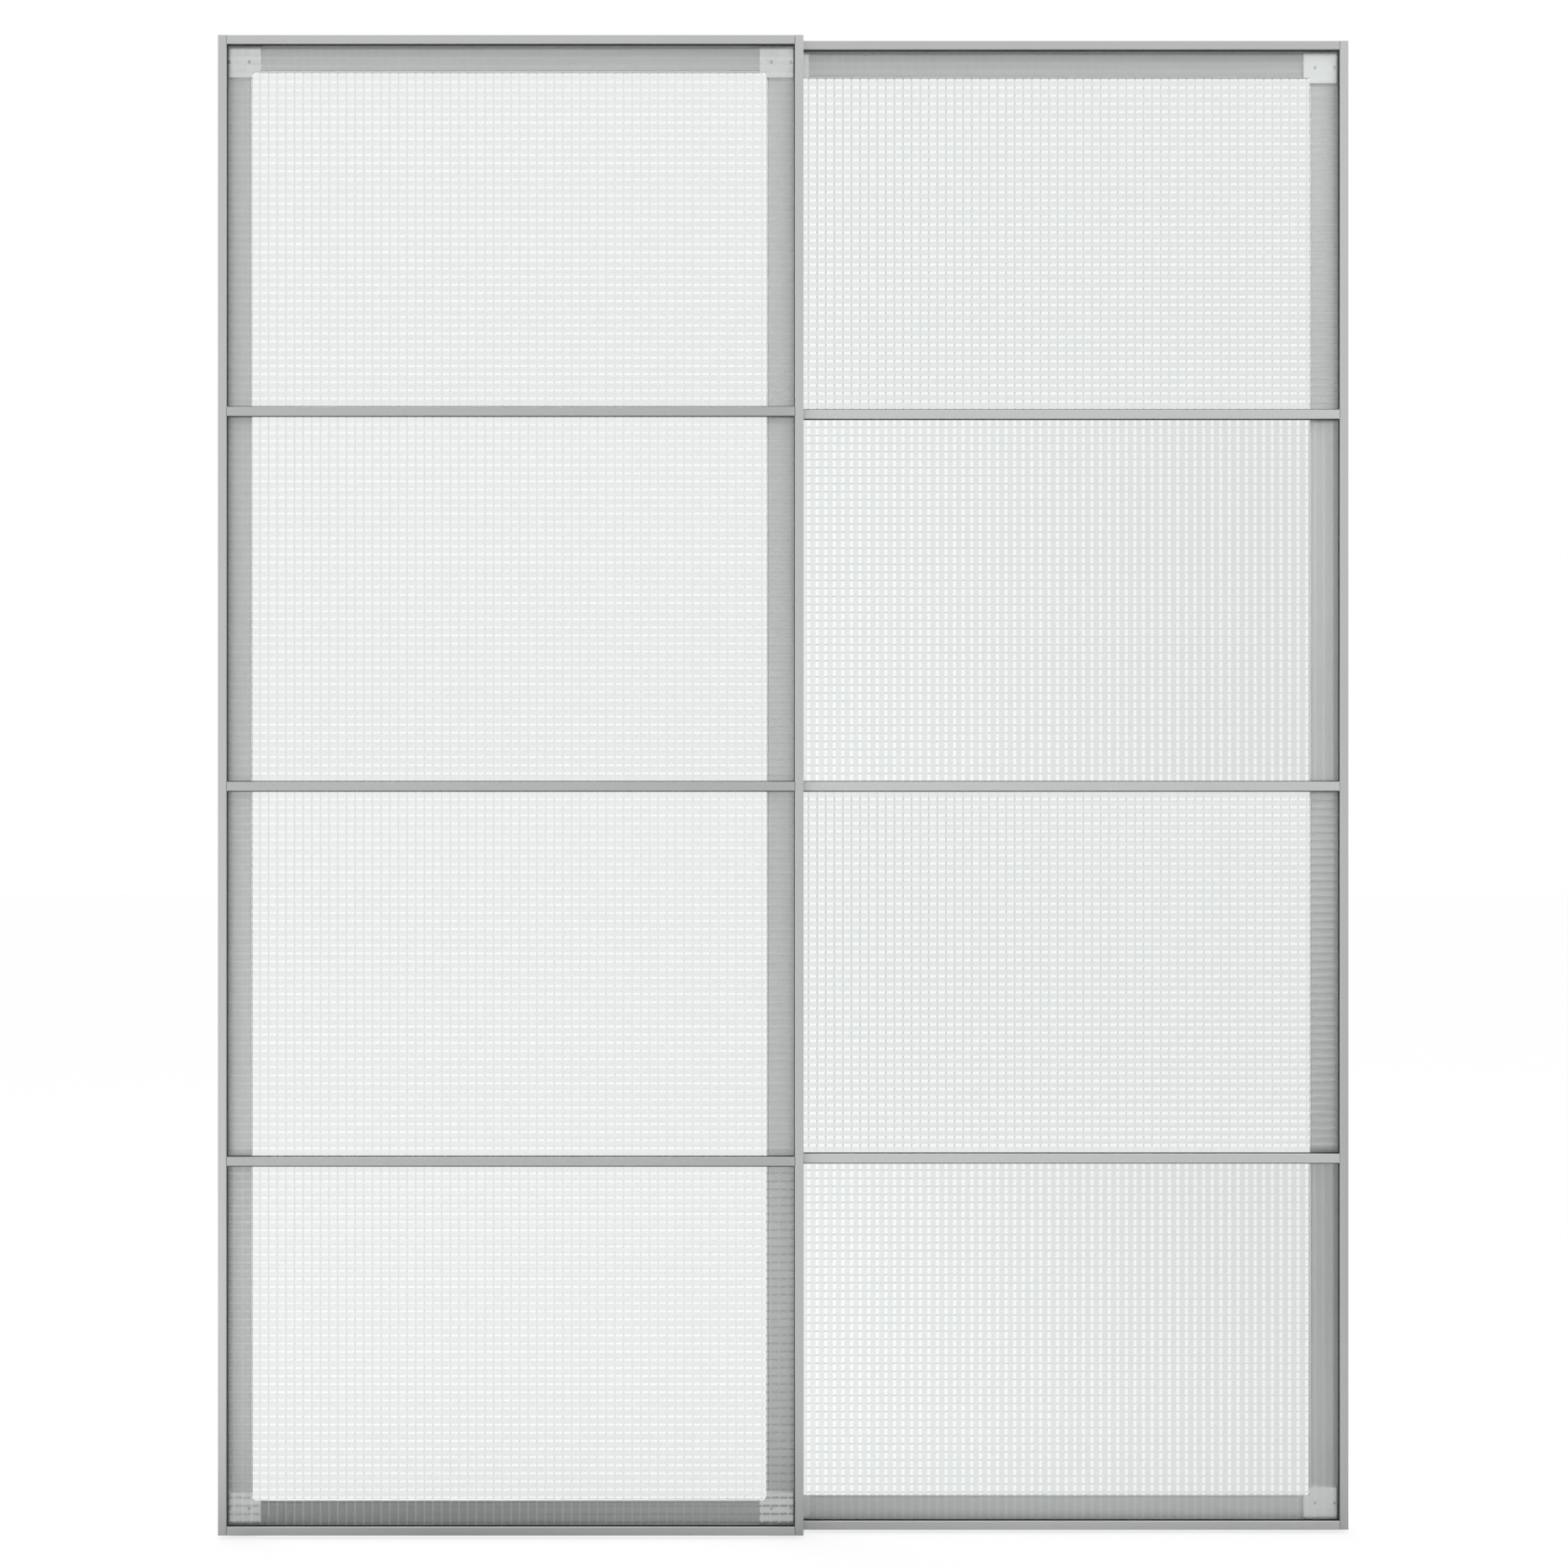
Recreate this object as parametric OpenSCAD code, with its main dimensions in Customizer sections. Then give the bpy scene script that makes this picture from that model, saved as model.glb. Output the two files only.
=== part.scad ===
// Pair of framed glass sliding doors on a double running rail.
// X runs to the right, the front faces -Y and Z is up. The origin is under the middle of the pair.
// Each door is drawn in its own frame: X from its left edge, Y back from its front face, Z up from its foot.

/* [Pair] */
// Width of the closed pair
set_w = 1500; // [1200:1:2000]
// Height of each door
door_h = 1983; // [1600:1:2400]
// Overlap of the two doors when closed
overlap = 48; // [30:1:80]
// Depth of a door's frame, front to back
door_d = 22; // [20:0.5:30]
// Space between the front door's back and the rear door's face
door_gap = 18; // [12:0.5:30]

/* [Frame section] */
// Width of the front lip seen round each door
lip_w = 11.5; // [10:0.1:16]
// Wall of the extrusions
wall = 2; // [1.4:0.1:2.4]
// Depth of the lip's return towards the glass
lip_return = 4.25; // [3.5:0.05:6]
// Thickness of the return on the lip
return_t = 1.5; // [1:0.1:2]
// Bevel on the edges that face the glass
lip_bevel = 0.9; // [0.3:0.1:1.2]
// Bevel on the door's outer edges
edge_bevel = 0.5; // [0.2:0.1:1]
// Thickness of the rib behind the glass
rib_t = 1.5; // [1:0.1:2]
// Reach of the rib from the door's edge
rib_w = 9.5; // [7:0.1:10]
// Thickness of the back flange
flange_t = 2; // [1.4:0.1:2.4]
// Radius of the half-round bead on the flange's edge
bead_r = 1.5; // [1:0.1:1.8]
// Width of the back flange on the left stile
flange_left = 43.5; // [40:0.1:50]
// Width of the back flange on the right stile
flange_right = 49.5; // [45:0.1:56]
// Width of the back flange on the top rail
flange_top = 46.5; // [40:0.1:50]
// Width of the back flange on the bottom rail
flange_bottom = 43.8; // [40:0.1:50]
// Gap left where two extrusions meet
seam = 0.2; // [0.1:0.05:0.4]

/* [Dividers] */
// Height of a divider's face
divider_h = 12.5; // [11:0.1:16]
// Thickness of a divider's middle web
divider_web = 4.4; // [4:0.1:5]
// Height of a divider's back flange
divider_back_h = 9.5; // [8.5:0.1:11]
// How far the dividers sit below even quarters of the door
divider_drop = 1.4; // [0:0.1:6]

/* [Glass] */
// Thickness of the panes over the ridges
glass_t = 4; // [3:0.1:6]
// Glass edge from the door's outer edge
glass_in = 4; // [3.5:0.1:6]
// Glass edge from the web of a divider
glass_web_gap = 0.9; // [0.8:0.1:1.4]
// Width of one check of the glass pattern
check_w = 11.45; // [8:0.05:20]
// Height of one check of the glass pattern
check_h = 10.73; // [8:0.05:20]
// Depth of the pattern's grooves
groove_d = 0.5; // [0.2:0.05:1]
// Width of the pattern's grooves
groove_w = 1.8; // [0.8:0.1:3]
// Thickness of the gasket's legs and web
gasket_t = 0.75; // [0.6:0.05:1]
// How much gasket shows beside the frame
gasket_show = 1; // [0.5:0.1:2]

/* [Corner blocks] */
// Width of a corner block
block_w = 44.5; // [40:0.5:50]
// Height of a corner block
block_h = 43; // [40:0.5:50]
// Thickness of a corner block
block_t = 5.4; // [4:0.1:7]
// Corner block from the door's left edge
block_in_left = 10.8; // [10:0.1:14]
// Corner block from the door's right edge
block_in_right = 13.6; // [10:0.1:15]
// Corner block from the door's top or bottom edge
block_in_end = 10.8; // [10:0.1:14]
// Round at the inner corner of the door's opening
opening_r = 5; // [2:0.5:7]

/* [Screws] */
// Radius of the corner screws
corner_screw_r = 2; // [1.5:0.1:2.4]
// Outer corner screw from the block's outer side
corner_screw_out = 2.9; // [2.6:0.1:5]
// Distance between the two corner screws
corner_screw_pitch = 26.1; // [22:0.1:30]
// Corner screws from the block's end
corner_screw_drop = 22.2; // [18:0.1:26]
// Radius of the corner screws' heads
corner_head_r = 3.8; // [3:0.1:4.5]
// Height of the corner screws' heads
corner_head_t = 2; // [1.4:0.1:2.4]
// Radius of the corner screws' sockets, across the points
corner_socket_r = 1.9; // [1.5:0.1:2.2]
// Depth of the corner screws' sockets
corner_socket_d = 1.2; // [0.8:0.1:1.3]
// How far the corner screws' tips show in front of the blocks
corner_tip = 0.8; // [0.2:0.1:2]
// Radius of the frame screws
frame_screw_r = 1.5; // [1.2:0.05:1.6]
// Length of the frame screws
frame_screw_len = 32; // [24:1:50]
// Radius of the frame screws' heads
frame_head_r = 3.2; // [2.6:0.1:3.6]
// Height of the frame screws' heads, let into the stiles
frame_head_t = 1.1; // [0.8:0.1:1.2]
// Radius of the frame screws' sockets, across the points
frame_socket_r = 1.6; // [1.2:0.1:1.8]
// Depth of the frame screws' sockets
frame_socket_d = 0.75; // [0.5:0.05:0.8]
// Radius of the screw ports in the top and bottom rails
port_r = 3.2; // [2.8:0.1:3.6]
// How far a screw port reaches into the rail's outer wall
port_bite = 0.4; // [0.2:0.05:0.8]
// Clearance round a screw in its thread
thread_gap = 0.05; // [0.02:0.01:0.1]
// Clearance round a screw in a plain hole
hole_gap = 0.2; // [0.1:0.05:0.4]

/* [Hangers and guides] */
// Thickness of the bracket steel
bracket_t = 2.5; // [2:0.1:3]
// Clearance between a front bracket's arm and the rear door
arm_gap = 1.5; // [1:0.1:4]
// Inside radius of the brackets' folds
fold_r = 1; // [0.6:0.1:2]
// Width of a bracket's screw plate
plate_w = 44; // [40:1:50]
// Screw plate from the door's side edge
plate_in = 8; // [5:0.5:9]
// Reach of the screw plate from the door's top or bottom edge
plate_reach = 43; // [40:0.5:48]
// Round of the screw plate's corners
plate_r = 4; // [1:0.5:6]
// Width of a front bracket's arm
arm_w = 36; // [26:1:40]
// Width of the tail that carries the axle
tail_w = 20; // [16:0.5:20]
// Space between the rear door's axles and a front bracket's tail
tail_gap = 2.3; // [1:0.1:5]
// Length of the slope from a front bracket's arm to its tail
tail_slope = 2.5; // [1:0.1:5]

/* [Wheels] */
// Radius of the wheel at the bottom of its groove
tread_r = 8.5; // [7:0.1:9]
// Radius of the wheel's flanges
wheel_r = 10.5; // [9.5:0.1:11]
// Width of the wheel
wheel_w = 8; // [7:0.1:9]
// Wall of the wheel's hub
hub_wall = 1.6; // [1:0.1:1.8]
// Wall under the wheel's groove
rim_wall = 1.6; // [1:0.1:1.8]
// Depth of the dish between hub and rim
dish_d = 1; // [0.5:0.1:2]
// Radius of the axle
axle_r = 3; // [2.5:0.1:3.5]
// Running clearance round the axle
axle_gap = 0.05; // [0.02:0.01:0.1]
// Radius of the axle's shoulder and head
axle_head_r = 4.5; // [4:0.1:6]
// Thickness of the axle's shoulder
axle_shoulder_t = 1.3; // [0.8:0.1:2]
// Thickness of the axle's head
axle_head_t = 1.5; // [1:0.1:2]
// Clearance beside the wheel on its axle
wheel_side_gap = 0.2; // [0.1:0.05:0.4]
// Axle from the door's top edge, and slider pin from its bottom edge
axle_drop = 11; // [11:0.1:14]
// Axle from the door's side edge
axle_in = 29; // [28:0.5:32]

/* [Rails] */
// Wall of the rail extrusion
rail_t = 3; // [2:0.1:4]
// Width of a running rib
rib_track_w = 3; // [2:0.1:3.4]
// Clearance beside a rib in a wheel or slider
track_gap = 0.3; // [0.2:0.05:0.5]
// Clearance between a wheel and its rib
run_gap = 0.3; // [0.1:0.05:0.5]
// Space between a wheel's flange and the rail's floor
flange_gap = 2; // [1:0.1:4]
// Reach of the rail's floor in front of the first rib's middle
rail_front = 3; // [2:0.1:3.5]
// Space between the front door's axles and the rail's screw plate
plate_gap = 1.3; // [0.8:0.1:4]
// Edge of the rail's screw plate from the door's top or bottom edge
rail_edge_drop = 5; // [3:0.1:8]
// Rail from the end of the pair
rail_end_in = 2; // [0:0.5:6]
// Radius of the rail's fixing holes
fix_r = 2.25; // [2:0.05:3]
// Middle of the fixing holes from the door's top or bottom edge
fix_drop = 13; // [11:0.1:16]
// Outer fixing holes from the rail's ends
fix_in = 98; // [20:1:150]
// Distance from each outer fixing hole to the next one
fix_pitch = 430; // [200:10:440]

/* [Sliders and stops] */
// Length of a slider
slider_len = 32; // [24:1:40]
// Foot of a slider from the door's bottom edge
slider_foot = 4; // [2:0.1:6]
// Space between a slider and the rail's floor
slider_gap = 1; // [0.5:0.1:2]
// Wall of a slider beside its groove
slider_wall = 2.7; // [2:0.1:3]
// Bevel on a slider's ends
slider_bevel = 1.8; // [0.5:0.1:3]
// Space between a stop and a wheel at the end of its run
stop_gap = 0.5; // [0.3:0.1:2]
// Stop from the end of the pair
stop_in = 4; // [3:0.5:8]
// Top of a stop from the door's top edge
stop_drop = 3; // [2:0.1:6]
// Clearance between a stop and the ribs
stop_rib_gap = 0.2; // [0.1:0.05:0.4]
// Radius of the stop screws
stop_screw_r = 2; // [1.5:0.1:2.5]
// Length of the stop screws above the rail's floor
stop_screw_len = 12; // [8:0.5:14]

/* [Hidden] */
$fn = 48;
// A cut runs this far past the face that it opens
past = 1;
panes = 4;

// Doors
door_w = (set_w + overlap) / 2;
door_z = bracket_t + arm_gap;
top_z = door_z + door_h;

// Section of the frame, in depth from the door's front face
glass_v = lip_return + gasket_t;
rib_v = glass_v + glass_t + gasket_t;
flange_v = door_d - flange_t;
bead_v = flange_v - bead_r;
block_v = flange_v - block_t;
port_u = wall + port_r - port_bite;
port_v = (rib_v + rib_t + flange_v) / 2;
divider_screw_v = glass_v + glass_t / 2;
pane_bite = divider_web / 2 + glass_web_gap;
thread_r = frame_screw_r + thread_gap;

// Depth of what runs behind the doors, from the front door's face
rear_door_v = door_d + door_gap;
rear_face_v = rear_door_v + door_d + bracket_t;
wheel_v = axle_shoulder_t + wheel_side_gap;
lane_v = wheel_v + wheel_w / 2;
axle_len = wheel_v + wheel_w + wheel_side_gap + axle_head_t;
front_face_v = rear_face_v + axle_len + tail_gap + bracket_t;
lanes = [rear_face_v + lane_v, front_face_v + lane_v];
rail_plate_v = front_face_v + axle_len + plate_gap;
total_d = rail_plate_v + rail_t;

// Heights of the running gear, from the door's top or bottom edge inwards
track_h = axle_drop + tread_r + run_gap;
floor_h = axle_drop + wheel_r + flange_gap;
track_slot = rib_track_w + 2 * track_gap;

// Rails and stops
rail_len = set_w - 2 * rail_end_in;
fix_xs = [for (k = [0, 1]) rail_len / 2 - fix_in - k * fix_pitch];
stop_len = axle_in - wheel_r - stop_gap - stop_in;
stop_low_v = lanes[0] - rail_front;
stop_screw_v = (lanes[0] + lanes[1]) / 2;

DOORS = ["front", "rear"];
SIDES = ["left", "right"];
ENDS = ["top", "bottom"];
DOOR_NODES = concat(
    [for (side = SIDES) str(side, "_stile")],
    [for (end = ENDS) str(end, "_rail")],
    [for (k = [1 : panes - 1]) str("divider_", k)],
    [for (k = [1 : panes]) str("glass_", k)],
    [for (end = ENDS) for (side = SIDES) str("corner_", end, "_", side)],
    [for (side = SIDES) str("hanger_", side)],
    [for (side = SIDES) str("guide_", side)],
    [for (side = SIDES) str("wheel_", side)],
    ["gaskets", "corner_screws", "frame_screws", "axles", "sliders"]
);

// Sizes that differ from side to side
function flange_side(side) = side == "left" ? flange_left : flange_right;
function flange_end(end) = end == "top" ? flange_top : flange_bottom;
function block_in(side) = side == "left" ? block_in_left : block_in_right;
// The two flanges of a corner meet halfway between its screws
function cope(side) = block_in(side) + corner_screw_out + corner_screw_pitch / 2;
// Corner screws from the side edge and from the top or bottom edge
function corner_screw_us(side) =
    [for (k = [0, 1]) block_in(side) + corner_screw_out + k * corner_screw_pitch];
corner_screw_h = block_in_end + corner_screw_drop;
// Middle height of divider k, counted from the top
function divider_z(k) = door_h - k * door_h / panes - divider_drop;
// Lower and upper edge of pane k, and of the opening that it fills
function pane_low(k) = k == panes ? glass_in : divider_z(k) + pane_bite;
function pane_high(k) = k == 1 ? door_h - glass_in : divider_z(k - 1) - pane_bite;
function open_low(k) = k == panes ? lip_w : divider_z(k) + divider_h / 2;
function open_high(k) = k == 1 ? door_h - lip_w : divider_z(k - 1) - divider_h / 2;
// Back face of the bracket leg that carries the axle, from its own door's front face
function axle_face(door) = door == "front" ? front_face_v : door_d + bracket_t;

// Placing: a door in the pair, a side measured from its edge, an end measured from its edge
module place(door) {
    x = door == "front" ? -set_w / 2 : set_w / 2 - door_w;
    v = door == "front" ? 0 : rear_door_v;
    translate([x, v - total_d / 2, door_z]) children();
}

module at_side(side) {
    if (side == "left") children();
    else translate([door_w, 0, 0]) mirror([1, 0, 0]) children();
}

module at_end(end) {
    if (end == "bottom") children();
    else translate([0, 0, door_h]) mirror([0, 0, 1]) children();
}

module at_corner(side, end) {
    at_side(side) at_end(end) children();
}

// Extruding: an outline in X and Z back along Y, an outline in Y and Z along X, a round along Y
module plate_xz(v, t) {
    translate([0, v + t, 0]) rotate([90, 0, 0]) linear_extrude(t) children();
}

module profile_yz(x, len) {
    translate([x, 0, 0]) rotate([90, 0, 90]) linear_extrude(len) children();
}

module round_y(x, v, z, r, len) {
    translate([x, v, z]) rotate([-90, 0, 0]) cylinder(r = r, h = len);
}

module round_x(x, v, z, r, len) {
    translate([x, v, z]) rotate([0, 90, 0]) cylinder(r = r, h = len);
}

module bevel_cut(size) {
    rotate(45) square(size * sqrt(2), center = true);
}

module rounded_rect(low, high, r) {
    w = high[0] - low[0];
    h = high[1] - low[1];
    translate(low) {
        translate([r, 0]) square([w - 2 * r, h]);
        translate([0, r]) square([w, h - 2 * r]);
        for (x = [r, w - r]) for (y = [r, h - r]) translate([x, y]) circle(r = r);
    }
}

// Frame: X of the section runs in from the door's outer edge, Y back from its face
module frame_section(flange_w) {
    difference() {
        union() {
            square([wall, door_d]);
            square([lip_w, wall]);
            translate([lip_w - return_t, 0]) square([return_t, lip_return]);
            translate([0, rib_v]) square([rib_w, rib_t]);
            translate([0, flange_v]) square([flange_w, flange_t]);
            translate([flange_w - bead_r, flange_v]) circle(r = bead_r);
        }
        bevel_cut(edge_bevel);
        translate([0, door_d]) bevel_cut(edge_bevel);
        translate([lip_w, 0]) bevel_cut(lip_bevel);
    }
}

module rail_section(flange_w) {
    difference() {
        union() {
            frame_section(flange_w);
            translate([port_u, port_v]) circle(r = port_r);
        }
        translate([port_u, port_v]) circle(r = thread_r);
    }
}

module frame_screw_hole(v, z) {
    round_x(-past, v, z, frame_head_r + hole_gap, frame_head_t + past);
    round_x(0, v, z, frame_screw_r + hole_gap, wall + past);
}

module corner_screw_hole(u, v, t) {
    round_y(u, v - past, corner_screw_h, corner_screw_r + hole_gap, t + 2 * past);
}

// A stile: its flange is cut back where the rails' flanges and the corner blocks come
module stile(side) {
    flange_w = flange_side(side);
    bead_from = flange_w - 2 * bead_r - seam;
    block_end = block_in_end + block_h + seam;
    color("#b8babb") at_side(side) difference() {
        linear_extrude(door_h) frame_section(flange_w);
        for (end = ENDS) at_end(end) {
            translate([cope(side), bead_v - past, -past])
                cube([flange_w, door_d - bead_v + 2 * past, flange_end(end) + past]);
            translate([bead_from, bead_v - past, -past])
                cube([2 * bead_r + 2 * past, bead_r + past, block_end + past]);
            frame_screw_hole(port_v, port_u);
            for (u = corner_screw_us(side))
                if (u < cope(side)) corner_screw_hole(u, flange_v, flange_t);
        }
        for (k = [1 : panes - 1]) frame_screw_hole(divider_screw_v, divider_z(k));
    }
}

// A top or bottom rail between the stiles, its flange running on to meet theirs
module rail(end) {
    flange_w = flange_end(end);
    len = door_w - 2 * (lip_w + seam);
    color("#b5b7b8") at_end(end) difference() {
        profile_yz(lip_w + seam, len) mirror([1, -1, 0]) rail_section(flange_w);
        for (side = SIDES) at_side(side) {
            translate([0, flange_v - seam, -past])
                cube([cope(side) + seam, flange_t + seam + past, flange_w + 2 * past]);
            translate([0, bead_v - past, flange_w - 2 * bead_r - seam])
                cube([block_in(side) + block_w + seam, bead_r + past, 2 * bead_r + 2 * past]);
            for (u = corner_screw_us(side))
                if (u > cope(side)) corner_screw_hole(u, flange_v, flange_t);
        }
    }
}

// A divider: face in front, a groove for glass above and below, a screw bore through its web
module divider_section() {
    difference() {
        union() {
            translate([0, -divider_h / 2]) square([wall, divider_h]);
            for (s = [-1, 1]) translate([lip_return / 2, s * (divider_h - return_t) / 2])
                square([lip_return, return_t], center = true);
            translate([0, -divider_web / 2]) square([rib_v + rib_t, divider_web]);
            translate([rib_v, -divider_back_h / 2]) square([rib_t, divider_back_h]);
        }
        for (s = [-1, 1]) translate([0, s * divider_h / 2]) bevel_cut(lip_bevel);
        translate([divider_screw_v, 0]) circle(r = thread_r);
    }
}

module divider(k) {
    color("#b3b5b6") translate([0, 0, divider_z(k)])
        profile_yz(lip_w + seam, door_w - 2 * (lip_w + seam)) divider_section();
}

// Glass: upright grooves in the front half and level grooves in the back half give the checks
function groove_points(len, pitch, face, inward) =
    let (count = floor(len / pitch), first = (len - count * pitch) / 2)
    [for (k = [0 : count]) let (at = first + k * pitch) if (at > groove_w && at < len - groove_w)
        each [[at - groove_w / 2, face], [at, face + inward * groove_d], [at + groove_w / 2, face]]];

module comb(len, pitch, face, middle) {
    inward = middle > face ? 1 : -1;
    ends = [[len, face], [len, middle], [0, middle], [0, face]];
    polygon(concat(groove_points(len, pitch, face, inward), ends));
}

module pane(k) {
    w = door_w - 2 * glass_in;
    h = pane_high(k) - pane_low(k);
    middle = glass_v + glass_t / 2;
    color("#e4ebe8", 0.5) translate([glass_in, 0, pane_low(k)]) {
        linear_extrude(h) comb(w, check_w, glass_v, middle);
        profile_yz(0, w) mirror([1, -1, 0]) comb(h, check_h, glass_v + glass_t, middle);
    }
}

// A rubber channel round each pane, a little wider than the frame's opening
module gaskets() {
    side_show = lip_w + gasket_show;
    pane_w = door_w - 2 * glass_in;
    grow = 2 * gasket_t;
    color("#1c1d1e") for (k = [1 : panes]) let (pane_h = pane_high(k) - pane_low(k)) difference() {
        translate([glass_in - gasket_t, lip_return, pane_low(k) - gasket_t])
            cube([pane_w + grow, glass_t + grow, pane_h + grow]);
        translate([glass_in, glass_v, pane_low(k)])
            cube([pane_w, glass_t, pane_h]);
        translate([side_show, 0, open_low(k) + gasket_show])
            cube([door_w - 2 * side_show, door_d, open_high(k) - open_low(k) - 2 * gasket_show]);
    }
}

// A block that ties stile and rail together, notched round the corner of the opening
module corner_block(side, end) {
    u = block_in(side);
    notch_u = flange_side(side);
    notch_h = flange_end(end);
    color("#cfd1d0") at_corner(side, end) difference() {
        plate_xz(block_v, block_t) difference() {
            translate([u, block_in_end]) square([block_w, block_h]);
            rounded_rect([notch_u, notch_h], [notch_u + block_w, notch_h + block_h], opening_r);
        }
        for (x = corner_screw_us(side))
            round_y(x, block_v - past, corner_screw_h, corner_screw_r + thread_gap, block_t + 2 * past);
    }
}

module hex_socket(r, depth) {
    cylinder(r = r, h = depth, $fn = 6);
}

// Screws from the back through bracket and flange into the corner blocks
module corner_screws() {
    tip_v = block_v - corner_tip;
    head_v = door_d + bracket_t;
    color("#a7a9aa") for (side = SIDES) for (end = ENDS) at_corner(side, end) for (u = corner_screw_us(side))
        difference() {
            union() {
                round_y(u, tip_v, corner_screw_h, corner_screw_r, head_v - tip_v);
                round_y(u, head_v, corner_screw_h, corner_head_r, corner_head_t);
            }
            translate([u, head_v + corner_head_t - corner_socket_d, corner_screw_h])
                rotate([-90, 0, 0]) hex_socket(corner_socket_r, corner_socket_d + past);
        }
}

module frame_screw(v, z) {
    difference() {
        union() {
            round_x(0, v, z, frame_head_r, frame_head_t);
            round_x(0, v, z, frame_screw_r, frame_screw_len);
        }
        translate([-past, v, z]) rotate([0, 90, 0]) hex_socket(frame_socket_r, past + frame_socket_d);
    }
}

// Screws through the stiles into the ends of the rails and dividers, heads flush
module frame_screws() {
    color("#a7a9aa") for (side = SIDES) at_side(side) {
        for (end = ENDS) at_end(end) frame_screw(port_v, port_u);
        for (k = [1 : panes - 1]) frame_screw(divider_screw_v, divider_z(k));
    }
}

// A quarter of a ring, for a fold in sheet steel: its middle at the origin, its arc in +X +Y
module fold() {
    intersection() {
        difference() {
            circle(r = fold_r + bracket_t);
            circle(r = fold_r);
        }
        square(fold_r + bracket_t);
    }
}

// Outline of the plate on the back of a corner, in X and in distance from the door's end
module screw_plate_outline(low) {
    rounded_rect([plate_in, low], [plate_in + plate_w, plate_reach], plate_r);
}

// Outline of the leg behind the rear door: an arm's width above, round the axle below
module tail_outline(from) {
    translate([axle_in - arm_w / 2, from]) square([arm_w, -from]);
    polygon([
        [axle_in - arm_w / 2, 0],
        [axle_in + arm_w / 2, 0],
        [axle_in + tail_w / 2, tail_slope],
        [axle_in - tail_w / 2, tail_slope]
    ]);
    translate([axle_in - tail_w / 2, tail_slope]) square([tail_w, axle_drop - tail_slope]);
    translate([axle_in, axle_drop]) circle(r = tail_w / 2);
}

// Side outline of a front bracket's arm and its two folds, in depth and in distance from the door's end
module arm_outline() {
    inner = -arm_gap;
    tail_v = front_face_v - bracket_t;
    plate_v = door_d + bracket_t;
    fold_h = inner + fold_r;
    translate([plate_v + fold_r, inner - bracket_t]) square([tail_v - plate_v - 2 * fold_r, bracket_t]);
    translate([plate_v + fold_r, fold_h]) mirror([1, 0, 0]) mirror([0, 1, 0]) fold();
    translate([tail_v - fold_r, fold_h]) mirror([0, 1, 0]) fold();
}

// A bracket on a corner of the door: flat on the rear door, folded over its edge on the front door
module bracket(door, side, end) {
    fold_h = fold_r - arm_gap;
    color("#9fa3a6") at_corner(side, end) difference() {
        union() {
            plate_xz(door_d, bracket_t) screw_plate_outline(arm_gap);
            if (door == "front") {
                profile_yz(axle_in - arm_w / 2, arm_w) arm_outline();
                plate_xz(door_d, bracket_t)
                    translate([axle_in - arm_w / 2, fold_h]) square([arm_w, plate_reach / 2]);
                plate_xz(front_face_v - bracket_t, bracket_t) tail_outline(fold_h);
            }
        }
        for (u = corner_screw_us(side)) corner_screw_hole(u, door_d, bracket_t);
        translate([0, axle_face(door) - bracket_t - past, 0])
            round_y(axle_in, 0, axle_drop, axle_r + thread_gap, bracket_t + 2 * past);
    }
}

// A pin riveted into the bracket, with a shoulder in front of the wheel and a head behind it
module axles(door) {
    face = axle_face(door);
    color("#a7a9aa") for (side = SIDES) at_corner(side, "top") {
        round_y(axle_in, face - bracket_t, axle_drop, axle_r, bracket_t + axle_len);
        round_y(axle_in, face, axle_drop, axle_head_r, axle_shoulder_t);
        round_y(axle_in, face + axle_len - axle_head_t, axle_drop, axle_head_r, axle_head_t);
    }
}

// Half section of a wheel: radius outwards, width along its axle, with a groove for the rib
module wheel_section() {
    rim = (wheel_w - track_slot) / 2;
    hub_r = axle_r + hub_wall;
    dish_r = tread_r - rim_wall;
    difference() {
        translate([axle_r + axle_gap, 0]) square([wheel_r - axle_r - axle_gap, wheel_w]);
        translate([tread_r, rim]) square([wheel_r, track_slot]);
        translate([hub_r, wheel_w - dish_d]) square([dish_r - hub_r, dish_d + past]);
        for (v = [0, wheel_w]) translate([wheel_r, v]) bevel_cut(edge_bevel);
    }
}

module wheel(door, side) {
    color("#2f3133") at_corner(side, "top") translate([axle_in, axle_face(door) + wheel_v, axle_drop])
        rotate([-90, 0, 0]) rotate_extrude() wheel_section();
}

// Nylon blocks with a groove over the lower rail's rib and a stud in the bracket
module sliders(door) {
    face = axle_face(door);
    depth = lane_v + track_slot / 2 + slider_wall;
    slot_h = track_h - run_gap;
    color("#e6e6e2") for (side = SIDES) at_corner(side, "bottom") {
        difference() {
            translate([axle_in - slider_len / 2, face, slider_foot])
                cube([slider_len, depth, floor_h - slider_gap - slider_foot]);
            translate([axle_in - slider_len / 2 - past, face + lane_v - track_slot / 2, slot_h])
                cube([slider_len + 2 * past, track_slot, floor_h]);
            for (s = [-1, 1]) translate([axle_in + s * slider_len / 2, 0, floor_h - slider_gap])
                rotate([-90, 0, 0]) linear_extrude(2 * total_d, center = true) bevel_cut(slider_bevel);
        }
        round_y(axle_in, face - bracket_t, axle_drop, axle_r - axle_gap, bracket_t);
    }
}

// Running rail: depth from the front door's face, height in from the doors' top or bottom edge
module rail_outline() {
    translate([lanes[0] - rail_front, floor_h]) square([total_d - lanes[0] + rail_front, rail_t]);
    for (lane = lanes) translate([lane - rib_track_w / 2, track_h]) square([rib_track_w, floor_h - track_h]);
    translate([rail_plate_v, rail_edge_drop]) square([rail_t, floor_h - rail_edge_drop]);
}

module running_rail() {
    difference() {
        profile_yz(-rail_len / 2, rail_len) rail_outline();
        for (x = fix_xs) for (s = [-1, 1])
            round_y(s * x, rail_plate_v - past, fix_drop, fix_r, rail_t + 2 * past);
    }
}

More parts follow.
